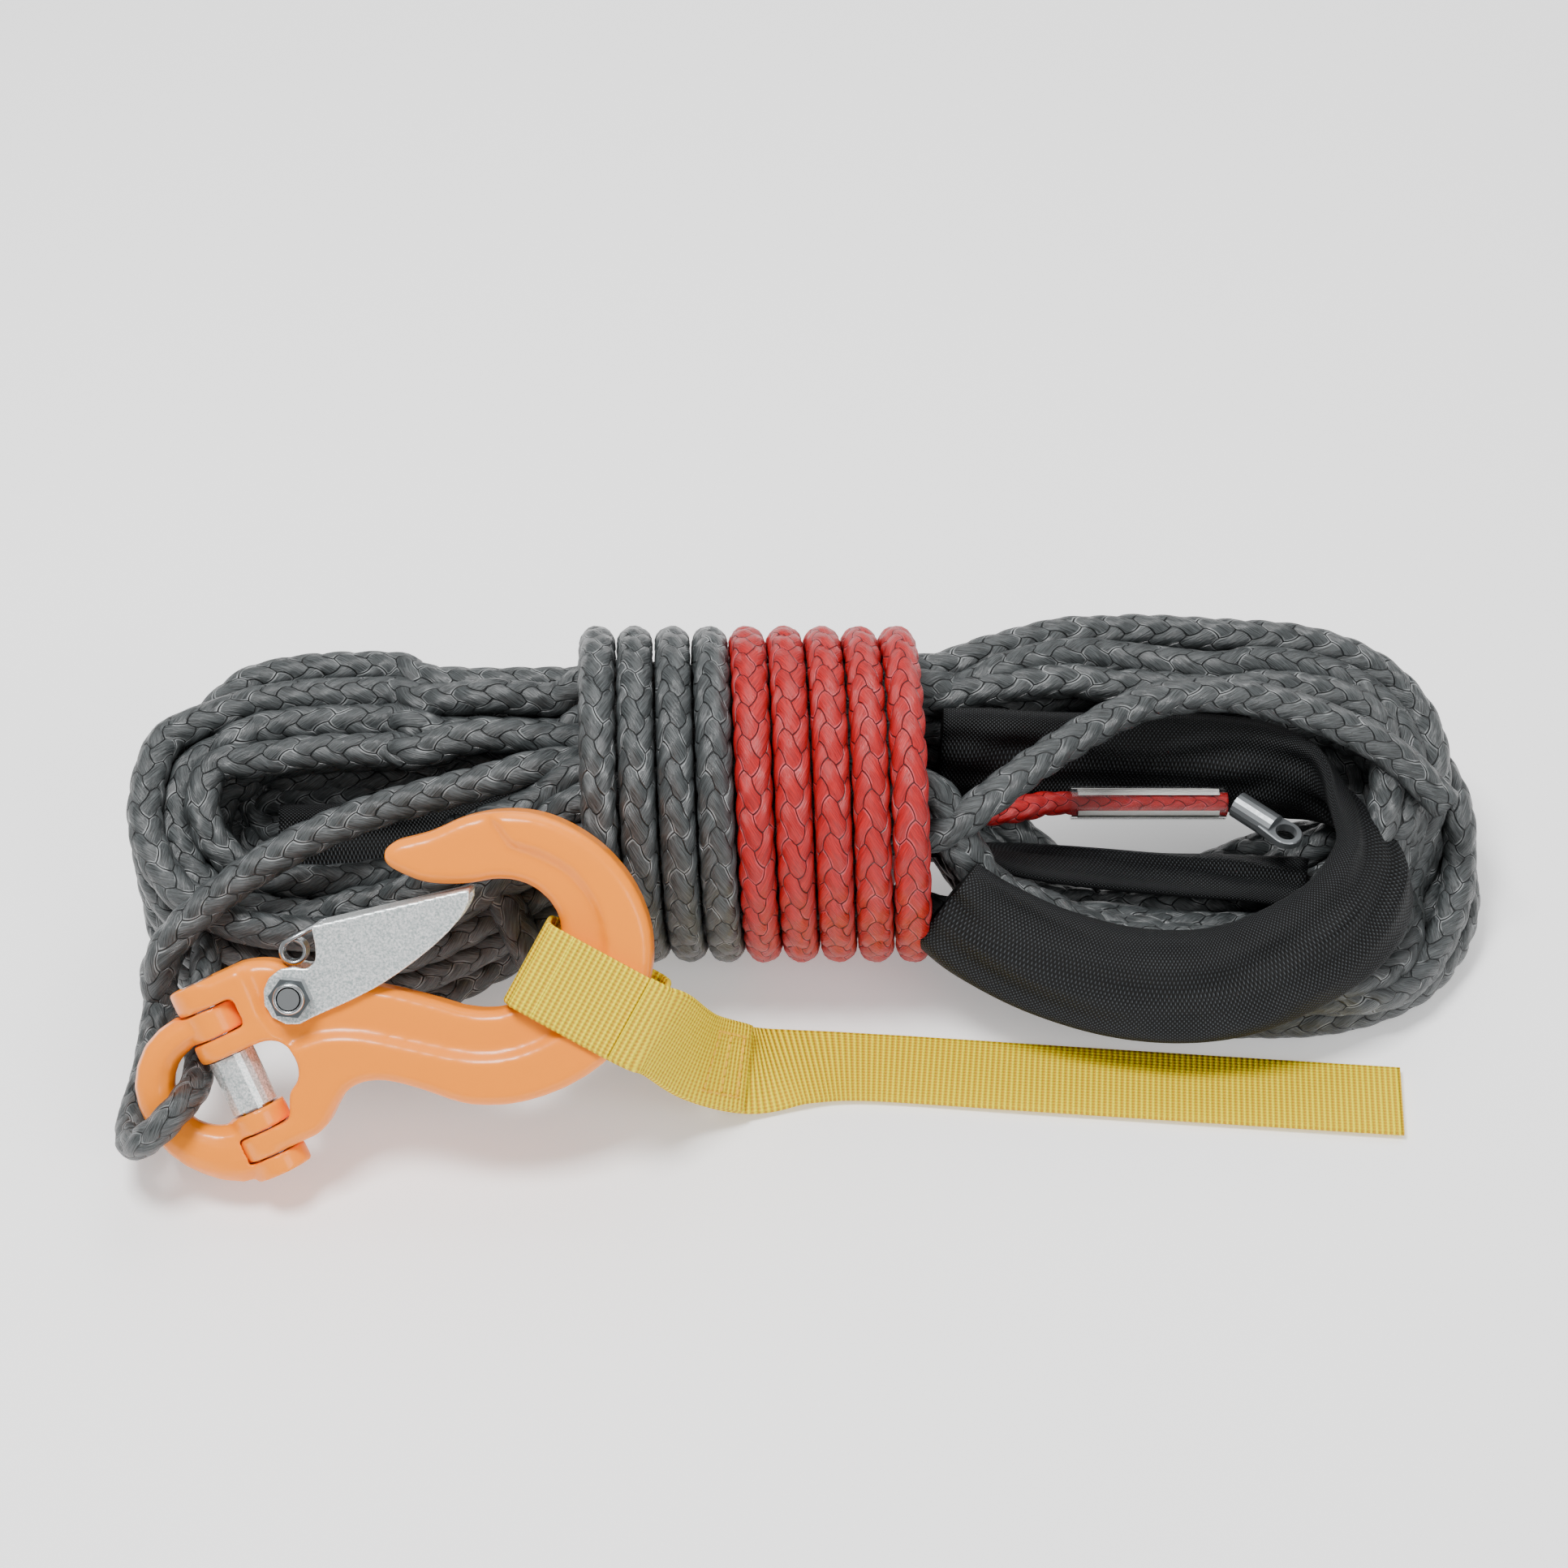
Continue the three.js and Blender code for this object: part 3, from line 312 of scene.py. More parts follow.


# Each rope's third colour is painted shade for its seams, its fourth a painted highlight for float edges.
grey_rope = rope_material("grey_rope_look", "#505556", "#131617", "#020303", "#b4b8b9", 0.34)
red_rope = rope_material("red_rope_look", "#c4030b", "#8a0207", "#230002", "#e8606a", 0.42)


# A loop's way leaves the waist's middle and is held by the wraps up to their end. Then it loosens and spreads
# out to its own run. These are the distances from the middle.
HELD_AT, WRAPS_END, LOOSENED, RUN_FROM = 0.03, 0.052, 0.075, 0.105
RUN_STEP = 0.03
LOOSENED_HIGH, LOOSENED_HELD = 0.032, 0.4
TURN_CUTS = 6


def run_stations(side, end, back, front, turning):
    """Half of a loop's way: from the middle of the waist out along the back, round the end and home along the
    front. A row is the section's middle, the way out of the loop, half width, half height and how much the
    waist's half round holds it. back and front are side place, height, half width and half height. turning
    is half width and half height"""
    waist_wide = 0.019
    waist_z = 0.0488
    turn = (back[0] - front[0]) / 2
    turn_x = end - turning[0] - turn
    rows = []

    def add(x, y, z, angle, wide, high, held):
        rows.append((side * x, y, z, side * math.sin(angle), math.cos(angle), wide, high, held))

    straight = max(1, int((turn_x - RUN_FROM) / RUN_STEP))
    for leg, (y_run, z_run, wide, high) in enumerate((back, front)):
        out = (1, -1)[leg]
        angle = math.pi * leg
        legs = [(0.0, out * IN_WAIST, waist_z, angle, waist_wide, waist_wide, 1),
                (HELD_AT, out * IN_WAIST, waist_z, angle, waist_wide, waist_wide, 1),
                (WRAPS_END, out * (IN_WAIST + 0.001), waist_z, angle, waist_wide, waist_wide, 1),
                (LOOSENED, (out * IN_WAIST + y_run) / 2, (waist_z + z_run) / 2, angle,
                 (waist_wide + wide) / 2, (LOOSENED_HIGH + high) / 2, LOOSENED_HELD)]
        legs += [(RUN_FROM + (turn_x - RUN_FROM) * i / straight, y_run, z_run, angle, wide, high, 0)
                 for i in range(straight + 1)]
        for row in (legs if leg == 0 else legs[::-1]):
            add(*row)
        if leg == 0:
            for i in range(1, TURN_CUTS):
                share = i / TURN_CUTS
                t = math.pi * share
                plain_wide = back[2] + (front[2] - back[2]) * share
                plain_high = back[3] + (front[3] - back[3]) * share
                add(turn_x + turn * math.sin(t), (back[0] + front[0]) / 2 + turn * math.cos(t),
                    back[1] + (front[1] - back[1]) * share, t,
                    plain_wide + (turning[0] - plain_wide) * math.sin(t),
                    plain_high + (turning[1] - plain_high) * math.sin(t), 0)
    return rows


GRID = 4
LOOPS = GRID * GRID
right = run_stations(1, 0.219, (0.0410, 0.0470, 0.0225, 0.0235), (-0.0315, 0.0215, 0.0215, 0.0205),
                     (0.018, 0.026))
left = run_stations(-1, 0.182, (0.0165, 0.0475, 0.0300, 0.0175), (-0.0300, 0.0210, 0.0190, 0.0210),
                    (0.0165, 0.024))
ring = np.array(right[:-1] + left[::-1][:-1])
ring = np.vstack([ring, ring[:1]])
gone = np.concatenate([[0], np.cumsum(np.linalg.norm(np.diff(ring[:, :3], axis=0), axis=1))])
STATIONS = 120
marks = np.arange(STATIONS) / STATIONS * gone[-1]
ring = np.stack([np.interp(marks, gone, ring[:, i]) for i in range(ring.shape[1])], axis=1)


def eased(values, own, next_to):
    """Values at the stations, each moved towards those before and after it"""
    return own * values + next_to * (np.roll(values, 1, 0) + np.roll(values, -1, 0))


for _ in range(6):
    ring[:, :5] = eased(ring[:, :5], 0.5, 0.25)
middle, outward = ring[:, :3], ring[:, 3:5]
outward = outward / np.linalg.norm(outward, axis=1)[:, None]
wide, high, held = ring[:, 5], ring[:, 6], ring[:, 7]

# The turns start as a square grid in the section, row by row and back. They stray and twist along the way.
# Then they push each other apart inside the room that the section leaves.
SEED, STRAY_EASED = 7, 60
STRAY, TWIST, TWIST_FROM = 0.004, 0.55, 0.6
GRID_FILLS = 0.85
half_grid = (GRID - 1) / 2
rows_of = [(i, j) for i in range(GRID) for j in (range(GRID) if i % 2 == 0 else range(GRID - 1, -1, -1))]
start_places = np.array([((i - half_grid) / half_grid, (j - half_grid) / half_grid) for i, j in rows_of])
stray = np.random.default_rng(SEED).normal(size=(STATIONS, LOOPS, 2))
for _ in range(STRAY_EASED):
    stray = eased(stray, 0.5, 0.25)
stray *= STRAY / stray.std()
twist = TWIST * np.sin(2 * math.pi * marks / gone[-1] + TWIST_FROM)
cos_t, sin_t = np.cos(twist)[:, None], np.sin(twist)[:, None]
u = start_places[None, :, 0] * cos_t - start_places[None, :, 1] * sin_t
v = start_places[None, :, 0] * sin_t + start_places[None, :, 1] * cos_t
places = np.stack([u * wide[:, None], v * high[:, None]], axis=-1) * GRID_FILLS + stray
APART = 0.0103
LOOSE = 0.0116
room = ROPE / 2
PUSH_SHARE, HUG = 0.45, 0.8
EASE_STEPS, SMOOTH_STEPS = 420, 400
for step in range(EASE_STEPS):
    apart = APART + (LOOSE - APART) * (1 - held)[:, None, None]
    gaps = places[:, :, None, :] - places[:, None, :, :]
    far = np.linalg.norm(gaps, axis=-1) + np.eye(LOOPS) + 1e-9
    push = np.clip(apart - far, 0, None)[..., None] * gaps / far[..., None] * PUSH_SHARE
    places = places + push.sum(axis=2)
    if step < SMOOTH_STEPS:
        places = eased(places, 0.6, 0.2)
    limit_u, limit_v = (wide - room * HUG)[:, None], (high - room * HUG)[:, None]
    squared = np.stack([np.clip(places[..., 0], -limit_u, limit_u),
                        np.clip(places[..., 1], -limit_v, limit_v)], -1)
    disc = places + np.array([IN_WAIST, 0])
    disc[..., 0] = np.clip(disc[..., 0], room, None)
    reach = np.linalg.norm(disc, axis=-1, keepdims=True)
    disc = disc * np.minimum(1, (WAIST_RADIUS - room) / np.maximum(reach, 1e-6)) - np.array([IN_WAIST, 0])
    share = held[:, None, None]
    places = share * disc + (1 - share) * squared
lines = np.stack([
    middle[:, None, 0] + outward[:, None, 0] * places[..., 0],
    middle[:, None, 1] + outward[:, None, 1] * places[..., 0],
    middle[:, None, 2] + places[..., 1]], axis=-1)
OFF_FLOOR = 0.0012
lines = lines + np.array([WAIST[0], WAIST[1], OFF_FLOOR])

# The sleeve's runs lie among the loops, which make way for them. Each point comes with the way that the flat
# tube's width points there.
WIDE_RUN = (
    ((0.036, 0.0385, 0.055), (0, 0.1, 1)), ((0.059, 0.0385, 0.054), (0, 0.2, 1)),
    ((0.091, 0.039, 0.052), (0, 0.1, 1)), ((0.121, 0.039, 0.050), (0, 0.1, 1)),
    ((0.144, 0.034, 0.047), (-0.2, 0.2, 1)), ((0.157, 0.020, 0.044), (-0.5, 0.2, 0.9)),
    ((0.160, 0.004, 0.042), (-0.75, 0.2, 0.7)), ((0.151, -0.013, 0.039), (-0.6, 0.6, 0.6)),
    ((0.134, -0.0235, 0.034), (-0.3, 0.75, 0.65)), ((0.113, -0.0285, 0.029), (0, 0.7, 0.7)),
    ((0.089, -0.0285, 0.029), (0, 0.65, 0.75)), ((0.066, -0.025, 0.034), (0, 0.6, 0.8)),
    ((0.047, -0.019, 0.041), (0, 0.5, 0.86)), ((0.036, -0.014, 0.047), (0, 0.3, 0.95)))
INNER_RUN = (
    ((0.036, 0.006, 0.048), (0, -0.7, 0.7)), ((0.057, 0.011, 0.039), (0, -0.9, 0.4)),
    ((0.093, 0.013, 0.032), (0, -1, 0.3)), ((0.126, 0.012, 0.030), (0.2, -1, 0.2)),
    ((0.142, 0.009, 0.031), (0.4, -1, 0.2)))
LEFT_RUN = (
    ((-0.074, 0.012, 0.047), (0, 0.6, 0.8)), ((-0.094, 0.015, 0.039), (0, 0.65, 0.75)),
    ((-0.119, 0.016, 0.034), (0, 0.65, 0.75)), ((-0.143, 0.017, 0.032), (-0.1, 0.65, 0.75)),
    ((-0.156, 0.018, 0.031), (-0.2, 0.65, 0.75)))
# In the photo they lie in front of the strands beside them, so those strands also move back, away from the
# camera's place.
in_way, hide_way, hide_reach = [], [], []
WAY_STEP = 0.008
for run, half_wide, reach in (
        (WIDE_RUN, 0.0155, 0.022), (INNER_RUN, 0.0105, 0.017), (LEFT_RUN, 0.0155, 0.012)):
    spine = smooth_path([p for p, _ in run], WAY_STEP)
    marks_in = np.linspace(0, len(run) - 1, len(spine))
    across = np.stack([np.interp(marks_in, range(len(run)), [w[i] for _, w in run]) for i in range(3)], 1)
    across /= np.linalg.norm(across, axis=1)[:, None]
    ahead = np.gradient(spine, axis=0)
    face = np.cross(ahead, across)
    face /= np.linalg.norm(face, axis=1)[:, None]
    to_camera = np.array(camera.location) - spine
    behind = -face * np.sign((face * to_camera).sum(axis=1))[:, None]
    for share_wide in np.linspace(-1, 1, 5):
        in_way.append(spine + across * half_wide * share_wide)
        hide_way.append(behind)
        hide_reach.append(np.full(len(spine), reach))
in_way, hide_way, hide_reach = np.vstack(in_way), np.vstack(hide_way), np.concatenate(hide_reach)
CLEAR = 0.0090
base_lines = lines.copy()
MAKE_WAY_STEPS = 60
BOX_X, BOX_FRONT, BOX_BACK = 0.1925, -0.0215, 0.0825
PUSH_MOST, FLOOR_GAP = 0.006, 0.0006
AWAY_SHARE, BACK_SHARE, APART_SHARE = 0.6, 0.5, 0.4
for _ in range(MAKE_WAY_STEPS):
    flat = lines.reshape(-1, 3)
    gaps = flat[:, None] - in_way[None]
    far = np.linalg.norm(gaps, axis=-1)
    nearest = far.argmin(axis=1)
    rows_index = np.arange(len(flat))
    near = far[rows_index, nearest]
    away = gaps[rows_index, nearest] / np.maximum(near, 1e-6)[:, None]
    way_back = hide_way[nearest]
    flat = flat + away * np.clip(CLEAR - near, 0, None)[:, None] * AWAY_SHARE
    depth = (gaps[rows_index, nearest] * way_back).sum(axis=1)
    in_front = (near < hide_reach[nearest]) & (depth < CLEAR)
    back_by = np.where(in_front, np.clip(CLEAR - depth, 0, PUSH_MOST), 0)
    flat = flat + way_back * back_by[:, None] * BACK_SHARE
    lines = flat.reshape(lines.shape)
    gaps = lines[:, :, None, :] - lines[:, None, :, :]
    far = np.linalg.norm(gaps, axis=-1) + np.eye(LOOPS) + 1e-9
    push = np.clip(APART - far, 0, None)[..., None] * gaps / far[..., None] * APART_SHARE
    lines = base_lines + eased(lines + push.sum(axis=2) - base_lines, 0.44, 0.28)
    lines[..., 2] = np.maximum(lines[..., 2], room + FLOOR_GAP)
    lines[..., 0] = np.clip(lines[..., 0], -BOX_X, BOX_X)
    lines[..., 1] = np.clip(lines[..., 1], BOX_FRONT, BOX_BACK)

# The loops follow each other as one rope, cut into four pieces. Each loop passes over to the next one under
# the wraps.
FINE = 0.0015
GROUPS = 4
WAIST_LIP = 0.012
per_group = LOOPS // GROUPS
SWAP_SHARE = 0.045
swap = np.clip((marks / gone[-1] - 1 + SWAP_SHARE) / SWAP_SHARE, 0, 1)[:, None]
swap = swap * swap * (3 - 2 * swap)
loop_lines = []
for i in range(LOOPS):
    following = lines[:, min(i + 1, LOOPS - 1)]
    loop_lines.append((1 - swap) * lines[:, i] + swap * following)
for group in range(GROUPS):
    chosen = loop_lines[group * per_group:(group + 1) * per_group]
    last = lines[0, min((group + 1) * per_group, LOOPS - 1)]
    path = smooth_path(np.vstack(chosen + [last[None]]), FINE)
    hidden = np.abs(path[:, 0] - WAIST[0]) < WAIST_HALF - WAIST_LIP
    keep = ~hidden | (np.arange(len(path)) % 5 == 0)
    name = f"rope_loops_{group + 1}"
    piece = rope_piece(name, path, ROPE, grey_rope, keep=keep)
    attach(piece, "hank")
    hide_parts("rope_loops_left", "rope_loops_right")

# The waist is wound tight with four turns of grey and five of red rope, side by side.
WRAP_PITCH = 0.01078
WRAP_RADIUS = WAIST_RADIUS + 0.0003 + ROPE / 2
WRAP_GAP = 0.06
for name, first, turns, material, slot in (
        ("wrap_grey", 0, 4, grey_rope, "grey_rope"), ("wrap_red", 4, 5, red_rope, "red_rope")):
    turn = np.linspace(first + WRAP_GAP, first + turns - WRAP_GAP, turns * 64)
    angle = -math.pi / 2 + turn * 2 * math.pi
    centre = np.stack([WAIST[0] - WAIST_HALF + turn * WRAP_PITCH, WAIST[1] + np.cos(angle) * WRAP_RADIUS,
                       WAIST[2] + np.sin(angle) * WRAP_RADIUS], axis=1)
    path = smooth_path(centre, FINE)
    piece = rope_piece(name + "_braid", path, ROPE, material)
    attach(piece, "hank")
    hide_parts(name)

# Three strands stand clear of the rest: one crosses the right loops from the waist's front, one comes down
# round the left end and one drops behind the hook's throat.
for name, points, stands_for in (
        ("crossing_strand", ((0.026, -0.003, 0.060), (0.038, -0.002, 0.065), (0.048, 0.004, 0.070),
                             (0.068, 0.020, 0.074), (0.092, 0.036, 0.076), (0.116, 0.041, 0.076),
                             (0.141, 0.038, 0.072), (0.165, 0.031, 0.063), (0.182, 0.022, 0.050)),
         "front_strand"),
        ("left_strand", ((-0.066, 0.0224, 0.067), (-0.080, 0.018, 0.069), (-0.0936, 0.0134, 0.068),
                         (-0.1116, 0.0078, 0.067), (-0.1274, 0.003, 0.065), (-0.142, -0.0027, 0.062),
                         (-0.1543, -0.0084, 0.058), (-0.1666, -0.0156, 0.053), (-0.1761, -0.0225, 0.048),
                         (-0.1826, -0.0283, 0.042), (-0.1856, -0.031, 0.031), (-0.1827, -0.0305, 0.018)),
         "rope_loops_left"),
        ("throat_strand", ((-0.1041, 0.0136, 0.049), (-0.0962, 0.0017, 0.051), (-0.091, -0.0086, 0.050),
                           (-0.0858, -0.0171, 0.044), (-0.0818, -0.0215, 0.035), (-0.0783, -0.0200, 0.025),
                           (-0.0740, -0.0110, 0.017), (-0.0690, -0.0010, 0.015)),
         "rope_loops_left")):
    path = smooth_path(points, FINE)
    piece = rope_piece(name, path, ROPE, grey_rope)
    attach(piece, "hank")
    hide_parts(stands_for)

# Protective sleeve

# A woven tube, pressed flat and creased, which slides on the rope. Its weave shows as rows of fine dots.
sleeve_look, tree, surface = shader("sleeve_look", "#050506", 0.6, Specular_IOR_Level=0.25)
uv = add_node(tree, "ShaderNodeUVMap", {"uv_map": "cloth"})
DOT = 0.00115
scaled = add_node(tree, "ShaderNodeVectorMath", {"operation": "MULTIPLY"}, {
    1: (2 * math.pi / DOT, 2 * math.pi / DOT, 0)}, {0: uv.outputs[0]})
waves = add_node(tree, "ShaderNodeVectorMath", {"operation": "SINE"}, {}, {0: scaled.outputs[0]})
parts = add_node(tree, "ShaderNodeSeparateXYZ", {}, {}, {0: waves.outputs[0]})
weave = add_node(tree, "ShaderNodeMath", {"operation": "MULTIPLY"}, {}, {
    0: parts.outputs[0], 1: parts.outputs[1]})
dots = add_node(tree, "ShaderNodeMapRange", {}, {
    "From Min": 0.25, "From Max": 0.95, "To Min": 0.0, "To Max": 1.0}, {"Value": weave.outputs[0]})
weave_colour = add_node(tree, "ShaderNodeMix", {"data_type": "RGBA"}, {
    6: linear("#010101"), 7: linear("#3c4043")}, {0: dots.outputs[0]})
tree.links.new(weave_colour.outputs[2], surface.inputs["Base Color"])
weave_bump = add_node(tree, "ShaderNodeBump", {}, {"Strength": 0.6, "Distance": 0.0003}, {
    "Height": weave.outputs[0]})
tree.links.new(weave_bump.outputs[0], surface.inputs["Normal"])
AROUND = 44
SLEEVE_STEP = 0.002


def band_frames(spine, stations_at, ways, smooth_times):
    """The along, across and face directions of a flat band whose width points the given ways"""
    marks_in = np.linspace(0, stations_at[-1], len(spine))
    across = np.stack([np.interp(marks_in, stations_at, [w[i] for w in ways]) for i in range(3)], axis=1)
    for _ in range(smooth_times):
        across[1:-1] = 0.5 * across[1:-1] + 0.25 * (across[2:] + across[:-2])
    ahead = np.gradient(spine, axis=0)
    ahead /= np.linalg.norm(ahead, axis=1)[:, None]
    across -= ahead * (across * ahead).sum(axis=1)[:, None]
    across /= np.linalg.norm(across, axis=1)[:, None]
    return ahead, across, np.cross(ahead, across)


for name, run, cloth_width, thick, wrinkle in (
        ("protective_sleeve", WIDE_RUN, 0.032, 0.0075, 0.0017),
        ("sleeve_run_right", INNER_RUN, 0.022, 0.0055, 0.0007),
        ("sleeve_run_left", LEFT_RUN, 0.034, 0.0065, 0.0016)):
    spine = smooth_path([p for p, _ in run], SLEEVE_STEP)
    _, across, face = band_frames(spine, range(len(run)), [w for _, w in run], 8)
    far_along = np.arange(len(spine))[:, None] * SLEEVE_STEP
    angle = (np.arange(AROUND) / AROUND * 2 * math.pi)[None]
    cosine, sine = np.cos(angle), np.sin(angle)
    side_place = np.sign(cosine) * np.abs(cosine) ** 0.8 * cloth_width / 2
    body = np.abs(sine) ** 0.75 * np.sign(sine) * thick / 2
    creases = (np.sin(far_along * 95 + side_place * 260 + 1.3 * np.sin(far_along * 41)) * 0.5
               + np.sin(far_along * 187 - side_place * 330 + 2.1 * np.sin(far_along * 63)) * 0.35
               + np.sin(side_place * 620 + 2.6 * np.sin(far_along * 33)) * 0.55)
    creases = creases * (1 - 0.6 * cosine ** 2) + 0.5 * np.sin(far_along * 70) * cosine
    lift = body + wrinkle * creases
    cloth = spine[:, None] + across[:, None] * side_place[..., None] + face[:, None] * lift[..., None]
    turn = np.arange(AROUND) / AROUND * 2 * cloth_width
    piece = skin(name + "_cloth", cloth, sleeve_look, "cloth", turn, turn + 2 * cloth_width / AROUND,
                 far_along[:, 0])
    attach(piece, "hank")
    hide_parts(name)

# Winch end: red tail, clear tube, label and lug

# The tail is a thinner red braid with a lump in it. Its end passes through a clear tube over a paper label to
# a crimped lug.
TAIL_ROPE = 0.0066
LUMP_AT, LUMP_LONG, LUMP_SHARE = 0.060, 0.007, 0.16
tail_path = smooth_path((
    (0.030, 0.012, 0.054), (0.040, 0.016, 0.050), (0.050, 0.0215, 0.047), (0.060, 0.0245, 0.0465),
    (0.066, 0.0265, 0.0462), (0.073, 0.027, 0.046), (0.100, 0.027, 0.046), (0.1195, 0.027, 0.046)), 0.0009)
lump = 1 + LUMP_SHARE * np.exp(-((tail_path[:, 0] - LUMP_AT) / LUMP_LONG) ** 2)
tail = rope_piece("red_tail_braid", tail_path, TAIL_ROPE, red_rope)
for i, vertex in enumerate(tail.data.vertices):
    centre = Vector(tail_path[i // BRAID_SIDES])
    vertex.co = centre + (vertex.co - centre) * float(lump[i // BRAID_SIDES])
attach(tail, "hank")
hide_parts("red_tail")


def own_copy(node, name, material, voxel=None, smooth_times=0, bevel=0.0):
    """A piece in the shape of one CAD node, rounded as cast, forged or folded metal is"""
    piece = bpy.data.objects.new(name, bpy.data.objects[node].data.copy())
    piece.data.transform(bpy.data.objects[node].matrix_world)
    bpy.context.collection.objects.link(piece)
    if voxel:
        remesh = piece.modifiers.new("skin", "REMESH")
        remesh.mode = "VOXEL"
        remesh.voxel_size = voxel
        soften = piece.modifiers.new("soften", "SMOOTH")
        soften.factor = 0.5
        soften.iterations = smooth_times
    if bevel:
        rounding = piece.modifiers.new("edge", "BEVEL")
        rounding.width = bevel
        rounding.segments = 3
        rounding.limit_method = "ANGLE"
        rounding.angle_limit = math.radians(35)
    shape = bpy.data.meshes.new_from_object(piece.evaluated_get(bpy.context.evaluated_depsgraph_get()))
    piece.modifiers.clear()
    piece.data = shape
    shape.materials.clear()
    shape.materials.append(material)
    if voxel:
        shape.polygons.foreach_set("use_smooth", [True] * len(shape.polygons))
    else:
        shape.set_sharp_from_angle(angle=math.radians(32))
    return piece


clear_look, _, surface = shader("clear_tube_look", "#ffffff", 0.06)
surface.inputs["Transmission Weight"].default_value = 1.0
surface.inputs["IOR"].default_value = 1.3
tube_piece = own_copy("heat_shrink", "clear_tube", clear_look)
paper_look = shader("label_paper_look", "#eceae4", 0.6)[0]
label_piece = own_copy("label", "paper_label", paper_look)
lug_look, tree, surface = shader("lug_look", "#8b8f92", 0.42, 0.85)
grain = add_node(tree, "ShaderNodeTexNoise", {}, {"Scale": 900.0, "Detail": 3.0}, {
    "Vector": add_node(tree, "ShaderNodeTexCoord").outputs["Object"]})
rough = add_node(tree, "ShaderNodeMapRange", {}, {"To Min": 0.3, "To Max": 0.55}, {
    "Value": grain.outputs[0]})
tree.links.new(rough.outputs[0], surface.inputs["Roughness"])
lug_piece = own_copy("drum_lug", "crimped_lug", lug_look, bevel=0.0003)
for piece, node, slot in (
        (tube_piece, "heat_shrink", "clear_shrink"), (label_piece, "label", "label_paper"),
        (lug_piece, "drum_lug", "lug_metal")):
    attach(piece, "hank")
    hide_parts(node)

# Hook, half link and pin

# Hook and link are forged and coated in glossy orange. The link's pin is steel, and the sleeve round it and
# the sheet latch are zinc plated.
orange_look, tree, surface = shader("orange_look", "#ff8c00", 0.3, Specular_IOR_Level=0.35)
surface.inputs["Coat Weight"].default_value = 0.15
surface.inputs["Coat Roughness"].default_value = 0.12
coords = add_node(tree, "ShaderNodeTexCoord")
forged = add_node(tree, "ShaderNodeTexNoise", {}, {"Scale": 260.0, "Detail": 3.0}, {
    "Vector": coords.outputs["Object"]})
forged_bump = add_node(tree, "ShaderNodeBump", {}, {"Strength": 0.12, "Distance": 0.0006}, {
    "Height": forged.outputs[0]})
tree.links.new(forged_bump.outputs[0], surface.inputs["Normal"])
zinc_look, tree, surface = shader("zinc_look", "#d5dbdc", 0.32, 0.6)
coords = add_node(tree, "ShaderNodeTexCoord")
spangle = add_node(tree, "ShaderNodeTexNoise", {}, {"Scale": 1500.0, "Detail": 2.0, "Roughness": 0.7}, {
    "Vector": coords.outputs["Object"]})
flakes = add_node(tree, "ShaderNodeValToRGB", {}, {}, {"Fac": spangle.outputs[0]})
stops = flakes.color_ramp.elements
stops[0].position, stops[0].color = 0.35, linear("#b3c0c0")
stops[1].position, stops[1].color = 0.65, linear("#ffffff")
tree.links.new(flakes.outputs[0], surface.inputs["Base Color"])
rough = add_node(tree, "ShaderNodeMapRange", {}, {"To Min": 0.22, "To Max": 0.5}, {
    "Value": spangle.outputs[0]})
tree.links.new(rough.outputs[0], surface.inputs["Roughness"])
steel_look = shader("bright_steel_look", "#b4b8ba", 0.25, 1.0)[0]
nut_look = shader("nut_look", "#7d8386", 0.3, 1.0)[0]

for node, name, body, material, slot, voxel, times, bevel in (
        ("hook_body", "forged_hook", "hook", orange_look, "orange_paint", 0.0008, 14, 0),
        ("half_link", "forged_link", "hank", orange_look, "orange_paint", 0.0006, 8, 0),
        ("clevis_pin", "link_pin", "hank", steel_look, "zinc", None, 0, 0.0006),
        ("pin_sleeve", "spacer_sleeve", "hank", zinc_look, "zinc", None, 0, 0.0005),
        ("latch", "sheet_latch", "latch", zinc_look, "zinc", 0.0005, 4, 0),
        ("latch_bolt", "latch_screw", "hook", steel_look, "zinc", None, 0, 0.0004),
        ("latch_nut", "lock_nut", "hook", nut_look, "zinc", None, 0, 0.0007)):
    piece = own_copy(node, name, material, voxel, times, bevel)
    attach(piece, body)
    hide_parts(node)

# The lock nut has a bright turned-in collar, with a dark gap between it and the screw's end.
LATCH_PIVOT = Vector((-0.14257, -0.05076, 0.04996))
PIN_WAY = Vector((0, -0.76604, 0.64279))
NUT_TOP = 0.01415
up_way = Vector((1, 0, 0))
side_way = PIN_WAY.cross(up_way)
profile = ((0.0032, -0.0002), (0.0032, 0.0009), (0.0035, 0.0013), (0.0039, 0.0013), (0.0043, 0.0008),
           (0.0044, -0.0002))
COLLAR_SIDES = 40
turns_at = [k * 2 * math.pi / COLLAR_SIDES for k in range(COLLAR_SIDES)]
points = []
for out, up in profile:
    for t in turns_at:
        outwards = up_way * math.cos(t) + side_way * math.sin(t)
        points.append(tuple(LATCH_PIVOT + PIN_WAY * (NUT_TOP + up) + outwards * out))
faces = []
for ring_at in range(len(profile)):
    low, high_at = ring_at * COLLAR_SIDES, (ring_at + 1) % len(profile) * COLLAR_SIDES
    for k in range(COLLAR_SIDES):
        following = (k + 1) % COLLAR_SIDES
        faces.append((low + k, low + following, high_at + following, high_at + k))
collar = mesh_object("nut_collar", points, faces, steel_look)
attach(collar, "hook")
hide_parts("latch_nut")

# The latch spring: a coil of wire on the pivot side, with two legs that press on the folded web.
HOOK_PIN = Vector((-0.1577, -0.06596, 0.03185))
HOOK_AXES = Matrix(((0.90924, -0.41628, 0.0), (0.26758, 0.58445, -0.76604), (0.31889, 0.69652, 0.64279)))


def in_hook(x, y, z):
    """A place given in millimetres in the hook's own directions"""
    return HOOK_PIN + HOOK_AXES @ Vector((x, y, z)) * MM


